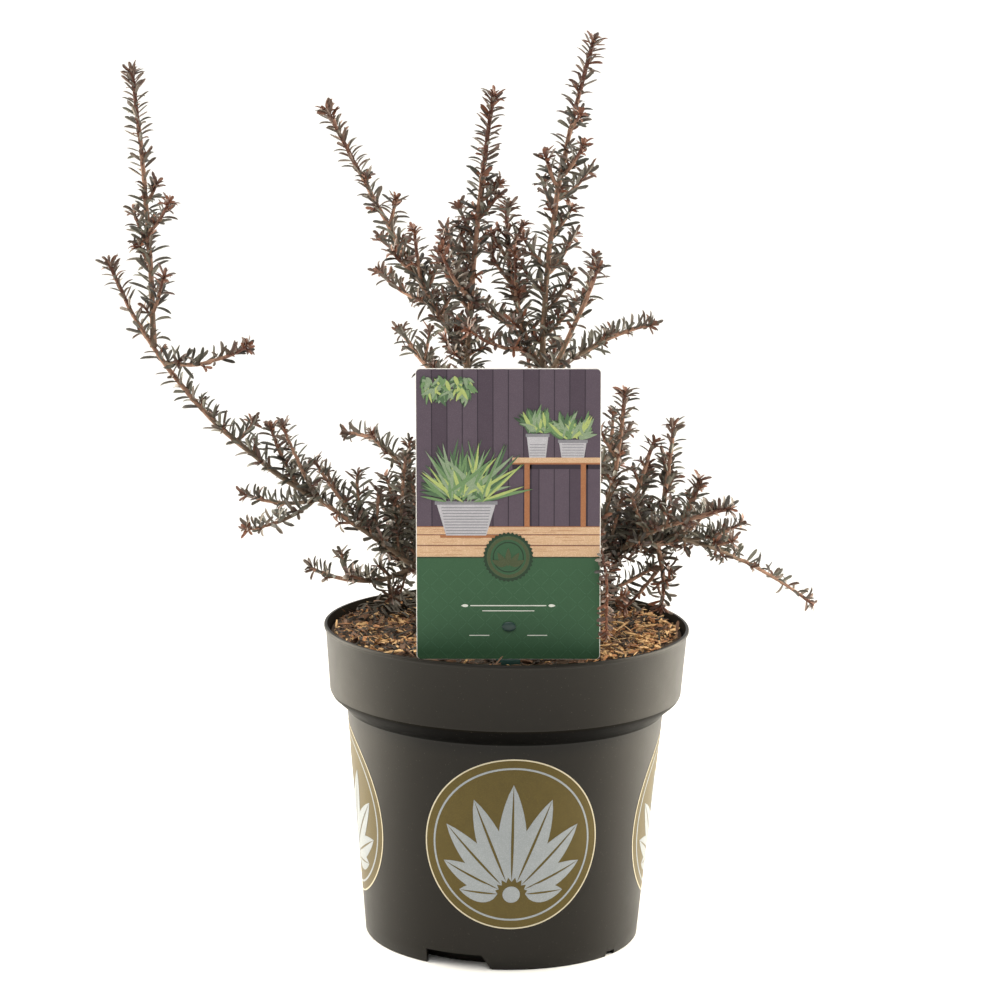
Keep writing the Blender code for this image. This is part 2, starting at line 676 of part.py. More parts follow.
def main():
    for made in list(bpy.data.objects):
        bpy.data.objects.remove(made)
    collection = bpy.data.collections.new("potted_podocarpus")
    cutters = {
        name: bpy.data.collections.new(name)
        for name in ("pot_cutters", "compost_cutters", "card_cutters", "stake_parts")
    }
    for group in (collection, *cutters.values()):
        bpy.context.scene.collection.children.link(group)
    make_pot(collection, cutters["pot_cutters"])
    make_compost(collection, cutters["compost_cutters"])
    make_card(collection, cutters["card_cutters"])
    make_stake(collection, cutters["stake_parts"])
    make_plant(collection)


main()
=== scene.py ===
"""The looks of a potted podocarpus: its pot and compost, its label, its bark, and its shoots and leaves.

Lengths are in millimetres, as in the part's source, and become metres when a piece is finished. The
shoots grow by the source's rule and tables, and are carried on to side shoots, buds and single leaves.
"""

import json
import math
import random
from collections import namedtuple

import bmesh
import bpy
import numpy as np
from bmesh import ops
from mathutils import Matrix, Vector, noise

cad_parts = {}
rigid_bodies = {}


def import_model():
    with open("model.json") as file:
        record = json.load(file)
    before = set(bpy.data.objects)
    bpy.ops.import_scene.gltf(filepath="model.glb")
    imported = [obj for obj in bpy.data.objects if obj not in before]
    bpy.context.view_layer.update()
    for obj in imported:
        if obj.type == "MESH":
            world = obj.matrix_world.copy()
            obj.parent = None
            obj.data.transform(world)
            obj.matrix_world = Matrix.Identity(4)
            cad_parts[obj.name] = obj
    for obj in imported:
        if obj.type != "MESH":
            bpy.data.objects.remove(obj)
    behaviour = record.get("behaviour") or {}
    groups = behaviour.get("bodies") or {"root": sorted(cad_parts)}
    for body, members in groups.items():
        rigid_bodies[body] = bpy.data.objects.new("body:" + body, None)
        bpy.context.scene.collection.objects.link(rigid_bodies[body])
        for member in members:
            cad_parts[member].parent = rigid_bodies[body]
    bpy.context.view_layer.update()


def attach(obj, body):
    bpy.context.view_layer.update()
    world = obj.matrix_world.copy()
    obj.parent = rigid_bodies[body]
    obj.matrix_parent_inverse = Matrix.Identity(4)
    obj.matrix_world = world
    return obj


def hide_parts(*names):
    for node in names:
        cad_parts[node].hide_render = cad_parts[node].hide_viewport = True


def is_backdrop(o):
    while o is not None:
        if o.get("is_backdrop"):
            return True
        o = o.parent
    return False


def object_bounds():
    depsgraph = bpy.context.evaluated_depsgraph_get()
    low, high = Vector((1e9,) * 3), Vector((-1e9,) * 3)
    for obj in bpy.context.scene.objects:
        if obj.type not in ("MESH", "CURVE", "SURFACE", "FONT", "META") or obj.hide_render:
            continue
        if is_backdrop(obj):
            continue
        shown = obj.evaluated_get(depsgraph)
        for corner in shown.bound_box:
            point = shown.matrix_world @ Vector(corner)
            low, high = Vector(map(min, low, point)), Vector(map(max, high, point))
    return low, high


MM = 0.001
UP = Vector((0.0, 0.0, 1.0))
GOLDEN_TURN = math.radians(137.5)

# Without a seed, the noise that bends the limbs differs from run to run
NOISE_SEED = 7

# Pot, with the source's own profile in finer steps
POT_HEIGHT = 165.0
RIM_RADIUS = 95.0
BAND_TOP_RADIUS = 94.0
BAND_FOOT_RADIUS = 91.6
BAND_FOOT_Z = 130.5
NECK_RADIUS = 82.6
NECK_Z = 121.0
FOOT_RADIUS = 71.6
WALL = 1.6
FLOOR = 2.0
GROOVE_HEIGHT = 7.6
GROOVE_INNER_RADIUS = 60.5
WALL_FOOT_RADIUS = FOOT_RADIUS + 0.6
WALL_FOOT_Z = GROOVE_HEIGHT + 0.4
POT_STEPS = 144
NOTCHES = 5
NOTCH_FIRST_DEG = 250.0
WIDE_NOTCH = (30.0, 7.6, 5.0)
SMALL_NOTCH = (7.0, 2.6, 0.4)
NOTCH_DEPTH = 10.0
DRAIN_RADIUS = 3.2

# Printed roundels on the pot's wall
ROUNDELS = 4
ROUNDEL_FIRST_DEG = -86.5
ROUNDEL_RADIUS = 45.8
ROUNDEL_Z = 68.2
ROUNDEL_EDGE = 0.7
ROUNDEL_STRIP = 3.0
INK = 0.05

# Compost
SOIL = 158.0
BED_STEPS = 120
CHIP_SIZES = ((1.0, 0.32, 0.15), (0.8, 0.45, 0.17), (1.1, 0.2, 0.13), (0.7, 0.55, 0.2), (1.2, 0.26, 0.1))
CHIPS = 7600
FIBRES = 7600
FALLEN_LEAVES = 60
LITTER = (((-66.0, 42.0), 110), ((-48.0, 60.0), 130), ((56.0, 60.0), 240), ((20.0, 72.0), 80))

# Large chips: where each lies, its heading and its length
LARGE_CHIPS = {
    "straw_tan": (
        (66, -8, 150, 14), (74, 14, 20, 12), (60, 20, 165, 13), (52, -30, 5, 11),
        (-58, -56, 15, 12), (-70, 28, 70, 12), (-62, 52, 25, 11),
    ),
    "orange_brown": ((80, -20, 60, 11), (56, 4, 10, 12), (-76, -6, 115, 10), (-40, -40, 170, 10)),
}

# Label card and its stake
CARD_WIDTH = 92.0
CARD_HEIGHT = 147.5
CARD_THICKNESS = 0.8
CARD_CORNER = 2.2
CARD_FOOT = Vector((1.0, -68.0, 162.0))
CARD_TURN_DEG = 1.0
CARD_EDGE = 0.35
PANEL_HEIGHT = 52.4
SEAL_RADIUS = 12.0
LEAF_LAYER = 0.06
STAKE_WIDTH = 12.0
STAKE_THICKNESS = 2.0
STAKE_TOP_Z = 206.0
STAKE_POINT_Z = 78.0
STAKE_TAPER = 22.0
STAKE_POINT_SHARE = 0.25
STAKE_Y = CARD_FOOT.y + CARD_THICKNESS / 2 + 0.3 + STAKE_THICKNESS / 2
STAKE_HALF_DEPTH = 3.5
PEG_Z = 179.0
PEG_SIZE = (7.0, 5.0)
HOOK_SIZE = (12.0, 3.0)
HOOK_Z = 160.2
HEAD_THICKNESS = 1.2
HEAD_Y = CARD_FOOT.y - CARD_THICKNESS / 2 - 0.3 - HEAD_THICKNESS / 2

# Trunk
TRUNK_FOOT = (0.0, 0.0, 151.0)
TRUNK_TIP = (-2.0, 1.0, 190.0)
TRUNK_THICK = 5.6
TRUNK_THIN = 4.0
TRUNK_FLARE = 3.2

# The source's rule for stems, twigs and spurs
STEM_THICK = 1.5
STEM_THIN = 0.8
TWIG_THICK = 1.1
TWIG_THIN = 0.7
TWIG_SAG = 0.07
SPUR_LEAN_DEG = 48.0
SPUR_LIFT = 0.35
SPUR_FROM = 0.3
SPUR_RUN = 0.5
SPUR_LENGTHS = (16.0, 32.0)

# Bark and shoots in finer steps
BARK_SIDES = 18
BARK_STEP = 1.3
BARK_DEPTH = 0.34
SHOOT_SIDES = 8
SHOOT_STEP = 2.0
SHOOT_DEPTH = 0.12
WANDER = 0.7
WANDER_RUN = 16.0

# Strength of the studio's sky on the camera's side and on the far side
SKY_IN_FRONT = 0.15
SKY_BEHIND = 0.85
SUN_ANGLE_DEG = 50.0

# The camera, in metres, and its turns about its own axes
CAMERA_PLACE = (-0.00456, -1.75596, 0.56072)
CAMERA_TILT_DEG = 79.347
CAMERA_ROLL_DEG = 1.0
CAMERA_LENS = 124.245

# Leaves
LEAF_SPACING = 1.12
LEAF_UNIT = 10.0
LEAF_WIDTH = 1.95
LEAF_THICKNESS = 0.55
LEAF_STEPS = 6
LEAF_LEAN_DEG = (52.0, 72.0)
LEAF_BENDS_DEG = (14.0, 30.0, 46.0, 62.0)
LEAF_LIFT = 0.75
LONG_LEAF = 10.8
SHORT_LEAF = 7.0
TUFT_HEIGHT = 3.0
STEM_TUFT = 11
TWIG_TUFT = 9
SPUR_TUFT = 4
CARD_REACH = 1.0

Bough = namedtuple("Bough", "parent at tip bow thick thin")
Mass = namedtuple("Mass", "parent at tip bow spurs twigs", defaults=((),))
Shoot = namedtuple("Shoot", "limb bare spacing long short youth tuft")
Shape = namedtuple("Shape", "verts faces tints")

# A limb leaves its parent at a share of the parent's length, ends at its tip, and its middle stands
# off the straight line between them by its bow. Radii go from thick at the foot to thin at the tip.
BOUGHS = {
    "left_bough": Bough("trunk", 0.62, (-52, -11, 200), (0, 0, -4), 2.9, 2.1),
    "left_low_bough": Bough("trunk", 0.42, (-46, 10, 205), (-4, 1, -6), 2.4, 1.7),
    "right_bough": Bough("trunk", 0.55, (84, -2, 213), (0, 0, 5), 2.9, 1.9),
    "front_bough": Bough("trunk", 0.66, (34, -44, 222), (3, -6, -3), 2.3, 1.6),
    "back_left_bough": Bough("trunk", 0.74, (-24, 48, 222), (-1, 2, -5), 2.4, 1.6),
    "back_right_bough": Bough("trunk", 0.86, (22, 52, 240), (1, 3, -5), 2.4, 1.6),
    "upper_left_bough": Bough("trunk", 0.76, (-22, 0, 301), (-12, 0, -8), 3.1, 2.0),
    "upper_right_bough": Bough("trunk", 1.0, (16, -5, 304), (6, 0, 0), 3.2, 2.0),
}

# A twig is where it leaves its stem, its heading in plan, its rise and its length. A mass's node has
# "_foliage" after this name.
MASSES = {
    "left_arm": Mass(
        "left_bough", 1.0, (-103, -32, 239), (0, 0, 0), 0,
        ((0.22, -173, 50, 58), (0.93, 150, -3, 45), (0.95, -126, -8, 55), (0.88, -127, 54, 54)),
    ),
    "left_outer": Mass(
        "left_arm", 1.0, (-205, -30, 356), (-9, -7, -8), 0,
        ((0.3, 60, 25, 18), (0.64, -37, 14, 57)),
    ),
    "left_tall": Mass(
        "left_outer", 0.7, (-196, 10, 450), (2, 0, 0), 0,
        ((0.12, -55, 60, 24), (0.36, 132, 53, 22), (0.41, -51, 43, 26)),
    ),
    "left_mid": Mass("left_low_bough", 1.0, (-88, 50, 258), (8, -3, 14), 1, ((0.3, 94, 56, 27),)),
    "left_bottom": Mass("left_low_bough", 0.85, (-107, 40, 184), (0, 0, -9), 2),
    "upper_left": Mass(
        "upper_left_bough", 1.0, (-101, 75, 427), (0, 7, -4), 0,
        ((0.25, 130, 15, 47), (0.33, -112, 70, 31), (0.46, 131, 14, 20)),
    ),
    "upper_left_low": Mass("upper_left_bough", 0.9, (-60, 45, 313), (-2, -2, -2), 1),
    "upper_centre": Mass(
        "upper_left_bough", 0.96, (-11, -45, 445), (-2, -7, -1), 0,
        ((0.3, -117, 39, 43), (0.42, 117, 23, 36)),
    ),
    "upper_middle": Mass(
        "upper_right_bough", 0.94, (-4, 18, 384), (-6, -3, 0), 0,
        ((0.16, -132, 16, 49), (0.28, 125, 14, 50), (0.4, -98, 64, 34)),
    ),
    "upper_right": Mass(
        "upper_right_bough", 1.0, (38, -50, 473), (-6, -2, 0), 0,
        (
            (0.28, 61, 32, 34), (0.47, 112, 43, 22), (0.51, 55, 24, 32),
            (0.55, -118, 49, 23), (0.58, -57, 42, 27), (0.74, -68, 33, 13),
        ),
    ),
    "upper_inner": Mass("upper_right_bough", 0.88, (43, -55, 361), (0, -6, -2), 1),
    "right_level": Mass("upper_right_bough", 0.9, (75, 25, 321), (-1, 0, 5), 0, ((0.38, 50, 19, 25),)),
    "right_front_tall": Mass("right_bough", 0.52, (58, -35, 296), (2, -12, 0), 2),
    "right_mid_tall": Mass("right_bough", 0.74, (75, 0, 265), (-3, -6, 0), 1),
    "right_back_tall": Mass("right_bough", 0.93, (85, 10, 273), (0, -6, 0), 1),
    "right_outer": Mass("right_bough", 0.66, (113, -55, 239), (-1, -4, 4), 1, ((0.6, 0, 66, 20),)),
    "right_droop": Mass(
        "right_bough", 1.0, (167, 60, 164), (-1, 6, 5), 0, ((0.1, 15, 14, 32), (0.3, 78, -4, 33))
    ),
    "right_hanging": Mass("right_bough", 0.9, (81, 15, 169), (3, 4, 1), 1),
    "right_front": Mass("front_bough", 1.0, (50, -84, 176), (5, -3, 16), 0),
    "right_low": Mass("trunk", 0.38, (78, 0, 197), (0, -8, -3), 2),
    "front_left": Mass("upper_left_bough", 0.25, (-25, -56, 290), (0, -8, -6), 2),
    "front_right": Mass("front_bough", 0.72, (20, -56, 280), (0, -3, 0), 2),
    "front_low": Mass("front_bough", 0.45, (-22, -58, 212), (0, -4, -3), 2),
    "back_left": Mass("back_left_bough", 1.0, (-42, 112, 262), (-1, 4, -6), 3),
    "back_low_left": Mass("back_left_bough", 0.8, (-66, 88, 204), (0, 2, -3), 2),
    "back": Mass("back_right_bough", 1.0, (14, 122, 290), (0, 4, -6), 3),
    "back_right": Mass("back_right_bough", 0.75, (66, 104, 252), (2, 0, -6), 3),
    "back_low_right": Mass("right_bough", 0.36, (60, 80, 214), (0, 2, -3), 2),
    "back_upper": Mass("upper_right_bough", 0.35, (24, 72, 306), (0, 4, -6), 2),
    "left_back_upper": Mass("upper_left_bough", 0.4, (-38, 62, 290), (0, 3, -5), 2),
}

# How far each mass has kept the red of young growth, from 0 to 1
YOUTH = dict(
    left_arm=0.15, left_mid=0.2, left_bottom=0.1, left_outer=0.35, left_tall=0.5, right_front=0.95,
    right_hanging=0.55, right_low=0.1, right_droop=0.3, right_level=0.25, upper_left=0.56,
    upper_centre=0.52, upper_middle=0.55, upper_right=0.45,
)
USUAL_YOUTH = 0.3
YOUTH_ON_BOUGHS = 0.15

# Limbs with closer side shoots than the others, and how far apart these stand at the limb's foot
THICKETS = dict(
    right_bough=1.2, left_bough=1.8, left_low_bough=1.8, upper_left_bough=5.0, upper_right_bough=5.0,
    left_arm=2.2, left_mid=3.5, left_bottom=3.0, right_front_tall=2.4, right_mid_tall=3.0,
    right_back_tall=3.5, right_outer=2.2, right_hanging=4.0, right_low=2.2, upper_centre=5.0,
    upper_middle=4.0, upper_left=5.0, upper_left_low=5.0,
)

# Side shoots where the crown is closer. Each has its share of the limb, heading, rise and length.
FURTHER_SHOOTS = {
    "left_bough": ((0.84, 120, 74, 48), (0.93, -75, 70, 40)),
    "left_arm": (
        (0.04, 150, 78, 30), (0.12, 60, 80, 50), (0.34, 80, 72, 24), (0.22, 175, 50, 50),
        (0.5, 100, 68, 28),
    ),
    "left_outer": ((0.04, -160, 64, 36),),
    "left_low_bough": ((0.92, -160, 62, 46), (0.97, 150, 40, 34), (0.8, -150, 20, 30)),
    "left_mid": ((0.1, -140, 62, 22),),
    "left_bottom": ((0.1, -110, 66, 22), (0.2, 120, 50, 26), (0.34, -80, -35, 14)),
    "right_bough": (
        (0.6, -70, 58, 40), (0.7, 50, 60, 44), (0.82, -100, 50, 30), (0.9, 30, 24, 34),
        (0.95, -40, 30, 24),
    ),
    "right_outer": ((0.3, -150, 64, 22), (0.22, 40, -10, 26)),
    "right_low": ((0.5, -20, 50, 26), (0.62, 140, 30, 24), (0.4, -60, -14, 22)),
    "right_droop": ((0.05, -20, 46, 24), (0.12, 160, 30, 20), (0.2, -30, 10, 20), (0.26, 40, 30, 14)),
    "upper_centre": (
        (0.25, 170, 58, 30), (0.36, -175, 52, 26), (0.4, -160, 70, 24), (0.5, 160, 62, 20),
        (0.58, -20, 50, 16), (0.64, 10, 42, 14),
    ),
    "upper_left": ((0.2, 20, 62, 26), (0.3, 30, 66, 20), (0.38, -160, 40, 16), (0.56, 40, 72, 15)),
    "upper_middle": ((0.55, 180, 55, 20), (0.68, -170, 58, 17), (0.74, 0, 60, 15)),
    "upper_right": (
        (0.08, -20, 48, 26), (0.16, 20, 52, 24), (0.22, 160, 46, 18), (0.3, 175, 50, 20),
        (0.4, -5, 56, 18),
    ),
    "left_tall": ((0.3, 170, 58, 12), (0.52, -10, 60, 12)),
}

# Young shoots with shorter leaves than the others, near the foot and near the tip
LEAF_SIZES = {"right_front": (5.6, 4.8), "right_droop": (8.8, 6.8)}

# Shoots whose leaves stand closer or further apart than usual
LEAF_GAPS = dict(
    right_droop=1.5, right_front=0.55, left_mid=1.4, left_arm=1.1, left_tall=0.85, upper_centre=0.78,
    upper_middle=0.7, upper_left=0.76,
)

# Each tint's dark and light patches, and its underside
LEAF_TINTS = {
    "grey_green": ((0.062, 0.057, 0.043), (0.145, 0.133, 0.105), (0.170, 0.160, 0.125)),
    "dark_green": ((0.032, 0.031, 0.022), (0.084, 0.079, 0.060), (0.130, 0.124, 0.096)),
    "charcoal": ((0.024, 0.021, 0.017), (0.074, 0.064, 0.054), (0.100, 0.090, 0.074)),
    "bronze": ((0.052, 0.037, 0.026), (0.128, 0.092, 0.070), (0.125, 0.098, 0.078)),
    "plum_brown": ((0.058, 0.031, 0.024), (0.132, 0.074, 0.060), (0.128, 0.078, 0.060)),
    "russet": ((0.115, 0.042, 0.022), (0.245, 0.098, 0.054), (0.180, 0.080, 0.050)),
}

# The tints that leaves below an age have, from old grey-green and charcoal to young plum and russet
TINTS_BY_AGE = (
    (0.28, ("grey_green", "dark_green", "dark_green", "charcoal")),
    (0.46, ("dark_green", "charcoal", "charcoal", "bronze")),
    (0.66, ("charcoal", "bronze", "bronze", "plum_brown")),
    (0.84, ("bronze", "plum_brown", "plum_brown", "russet")),
    (math.inf, ("plum_brown", "russet")),
)
TIP_TINTS_BY_RED = (
    (0.72, "russet"), (0.52, "plum_brown"), (0.28, "bronze"), (-math.inf, "charcoal")
)
SIDE_SHOOT_TO = 0.85
BALD_FROM_LENGTH = 55.0
BALD_RUN = 13.0
LEAST_LEAF = 3.5
BOX_MARGIN = 0.8


def sum_by(operation, swapped=False):
    def method(self, other):
        terms = (other, self) if swapped else (self, other)
        return self.paint.node("Math", {"operation": operation}, dict(enumerate(terms)))
    return method


class Value:
    """One output in a material. Arithmetic on it adds Math nodes to that material."""

    __add__ = __radd__ = sum_by("ADD")
    __sub__ = sum_by("SUBTRACT")
    __rsub__ = sum_by("SUBTRACT", swapped=True)
    __mul__ = __rmul__ = sum_by("MULTIPLY")
    __gt__ = sum_by("GREATER_THAN")
    __lt__ = sum_by("LESS_THAN")

    def __init__(self, paint, socket):
        self.paint = paint
        self.socket = socket


class Paint:
    """A material, and the few ways that this plant's finishes are built up in it."""

    def __init__(self, name, colour, roughness, metallic=0.0):
        self.material = bpy.data.materials.new(name)
        self.material.use_nodes = True
        self.tree = self.material.node_tree
        self.shader = self.tree.nodes["Principled BSDF"]
        self.dress("Base Color", colour)
        self.dress("Roughness", roughness)
        self.dress("Metallic", metallic)
        self.place = None

    def feed(self, socket, value):
        if isinstance(value, Value):
            self.tree.links.new(value.socket, socket)
        elif socket.type == "RGBA":
            socket.default_value = (*value, 1.0)
        else:
            socket.default_value = value

    def dress(self, socket, value):
        self.feed(self.shader.inputs[socket], value)

    def node(self, kind, settings, values, output=0):
        """Any node: its settings come first, then the values or links of its sockets."""
        made = self.tree.nodes.new(f"ShaderNode{kind}")
        for name, value in settings.items():
            setattr(made, name, value)
        for name, value in values.items():
            self.feed(made.inputs[name], value)
        return Value(self, made.outputs[output])

    def spot(self, size, stretch=(1.0, 1.0, 1.0)):
        """Where a point lies on the piece, counted in steps of so many millimetres."""
        if self.place is None:
            self.place = self.node("TexCoord", {}, {}, "Object")
        scale = tuple(1.0 / (MM * size * share) for share in stretch)
        return self.node("Mapping", {}, {"Vector": self.place, "Scale": scale})

    def noise(self, size, detail=2.0, stretch=(1.0, 1.0, 1.0)):
        spot = self.spot(size, stretch)
        return self.node("TexNoise", {}, {"Vector": spot, "Scale": 1.0, "Detail": detail})

    def cells(self, size):
        """How far a point is from the middle of its grain."""
        return self.node("TexVoronoi", {}, {"Vector": self.spot(size), "Scale": 1.0})

    def rise(self, low, high):
        """How far a point has come on the way up from one height to another, from 0 to 1."""
        height = self.node("SeparateXYZ", {}, {"Vector": self.spot(1.0)}, "Z")
        values = {"Value": height, "From Min": low, "From Max": high}
        return self.node("MapRange", {"interpolation_type": "SMOOTHSTEP"}, values)

    def mix(self, share, first, second):
        settings = {"data_type": "RGBA"}
        return self.node("Mix", settings, {0: share, 6: first, 7: second}, 2)

    def shades(self, share, dark, light):
        self.dress("Base Color", self.mix(share, dark, light))

    def bump(self, height, depth):
        values = {"Height": height, "Strength": 1.0, "Distance": depth * MM}
        self.dress("Normal", self.node("Bump", {}, values))


def pot_plastic(name, gloss):
    """Taupe plastic with pale flecks, and a painted shade below the band: near black on the neck, fading out
    down the wall below it.
    """
    paint = Paint(name, (0.03, 0.026, 0.022), 0.42)
    mottle = paint.noise(11.0, 4.0)
    flecks = (paint.cells(2.4) < 0.09) * paint.noise(4.0)
    body = paint.mix(mottle, (0.0042, 0.0031, 0.0016), (0.0062, 0.0048, 0.0028))
    # Painted shade under the band: the neck turns near black, and the darkening fades out down the wall
    # below it
    shade = paint.rise(NECK_Z - 9.0, NECK_Z + 1.0) * (1.0 - paint.rise(BAND_FOOT_Z - 2.0, BAND_FOOT_Z))
    body = paint.mix(shade, body, (0.0006, 0.0005, 0.0004))
    paint.shades(flecks * 0.5, body, (0.10, 0.085, 0.065))
    paint.dress("Roughness", 0.38 + mottle * 0.1)
    paint.dress("Specular IOR Level", gloss)
    paint.bump(paint.noise(0.9, 3.0), 0.02)
    return paint


def stained_plastic():
    """The wall's inner face, dulled by peat and old water lines."""
    paint = Paint("stained_pot_plastic", (0.012, 0.0095, 0.0065), 0.8)
    stains = paint.noise(7.0, 5.0, (1.0, 1.0, 0.4))
    paint.shades(stains, (0.005, 0.004, 0.0028), (0.016, 0.0122, 0.008))
    paint.dress("Roughness", 0.8 + stains * 0.2)
    paint.dress("Specular IOR Level", 0.05)
    return paint


def ink(name, dark, light, roughness, metallic=0.0, gloss=0.5):
    """A printed colour, laid down in fine dots."""
    paint = Paint(name, dark, roughness, metallic)
    paint.dress("Specular IOR Level", gloss)
    dots = paint.cells(0.55) < 0.34
    cloud = paint.noise(5.0)
    paint.shades(dots * 0.6 + cloud * 0.4, dark, light)
    return paint


def leaf_paints(tint):
    """The finishes of a leaf's face and of its underside."""
    dark, light, pale = LEAF_TINTS[tint]
    face = Paint(f"{tint}_leaf", dark, 0.4)
    patches = face.noise(5.0, 1.0)
    face.shades(patches, dark, light)
    face.dress("Roughness", 0.34 + patches * 0.18)
    under = Paint(f"{tint}_leaf_underside", pale, 0.6)
    under.shades(under.noise(4.0, 1.0), tuple(0.7 * part for part in pale), pale)
    return [face, under]


def bark_finish(name, dark, light, size, depth):
    paint = Paint(name, light, 0.8)
    flakes = paint.noise(size, 4.0)
    fine = paint.noise(size * 0.25, 3.0)
    paint.shades(flakes * 0.6 + fine * 0.4, dark, light)
    paint.dress("Roughness", 0.68 + fine * 0.25)
    paint.bump(flakes + fine * 0.6, depth)
    return paint


def stand(name, data):
    """An object with this data, in the scene."""
    made = bpy.data.objects.new(name, data)
    bpy.context.scene.collection.objects.link(made)
    return made


def mesh_of(name, bm):
    mesh = bpy.data.meshes.new(name)
    bm.to_mesh(mesh)
    bm.free()
    return mesh


def everything(bm):
    return bm.verts[:] + bm.edges[:] + bm.faces[:]


def move(bm, way):
    ops.translate(bm, vec=way, verts=bm.verts)


def stretch(bm, factors):
    ops.scale(bm, vec=factors, verts=bm.verts)


def swing(bm, turn):
    ops.rotate(bm, matrix=turn, verts=bm.verts)


def face_out(bm):
    ops.recalc_face_normals(bm, faces=bm.faces)


def weld(bm, reach):
    ops.remove_doubles(bm, verts=bm.verts, dist=reach)


def about(axis, degrees):
    return Matrix.Rotation(math.radians(degrees), 3, axis)


def finish(name, bm, paints, slot, *nodes, sharp_deg=40.0):
    """A finished piece from a mesh modelled in millimetres. It stands for the nodes named."""
    stretch(bm, (MM, MM, MM))
    return finish_mesh(name, mesh_of(name, bm), paints, slot, *nodes, sharp_deg=sharp_deg)


def finish_mesh(name, mesh, paints, slot, *nodes, sharp_deg=40.0):
    made = stand(name, mesh)
    for paint in paints:
        mesh.materials.append(paint.material)
    mesh.shade_smooth()
    mesh.set_sharp_from_angle(angle=math.radians(sharp_deg))
    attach(made, "root")
    if nodes:
        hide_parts(*nodes)
    return made


def box(size, centre):
    bm = bmesh.new()
    ops.create_cube(bm, size=1.0)
    stretch(bm, size)
    move(bm, centre)
    return bm


def add_to(bm, part):
    """Joins a part's mesh into another, and frees it."""
    loose = mesh_of("loose", part)
    bm.from_mesh(loose)
    bpy.data.meshes.remove(loose)


def turned(profile, steps):
    """A turned shape from the radius and height of its outline."""
    bm = bmesh.new()
    verts = [bm.verts.new((radius, 0.0, z)) for radius, z in profile]
    edges = [bm.edges.new(pair) for pair in zip(verts, verts[1:])]
    ops.spin(
        bm, geom=verts + edges, cent=(0, 0, 0), axis=(0, 0, 1), dvec=(0, 0, 0), angle=math.tau,
        steps=steps, use_merge=True,
    )
    weld(bm, 0.001)
    face_out(bm)
    return bm


def rounded(bm, edges, offset, segments):
    ops.bevel(bm, geom=edges, offset=offset, segments=segments, profile=0.5, affect="EDGES", material=-1)


def ring_edges(bm, radius, z):
    """The edges of a turned shape that run round it at one radius and height."""
    def on_ring(vert):
        return abs(vert.co.z - z) < 0.01 and abs(math.hypot(vert.co.x, vert.co.y) - radius) < 0.05
    return [e for e in bm.edges if on_ring(e.verts[0]) and on_ring(e.verts[1])]


def pot_inside():
    """The wall's inner face from the floor's centre up to the lip."""
    return [
        (0.0, FLOOR), (GROOVE_INNER_RADIUS - WALL, FLOOR),
        (GROOVE_INNER_RADIUS, GROOVE_HEIGHT + FLOOR),
        (FOOT_RADIUS - WALL + 0.6, GROOVE_HEIGHT + FLOOR), (NECK_RADIUS - WALL, NECK_Z - 1.0),
        (BAND_FOOT_RADIUS - WALL - 0.8, BAND_FOOT_Z - 0.6), (BAND_TOP_RADIUS - WALL, POT_HEIGHT - 1.5),
    ]


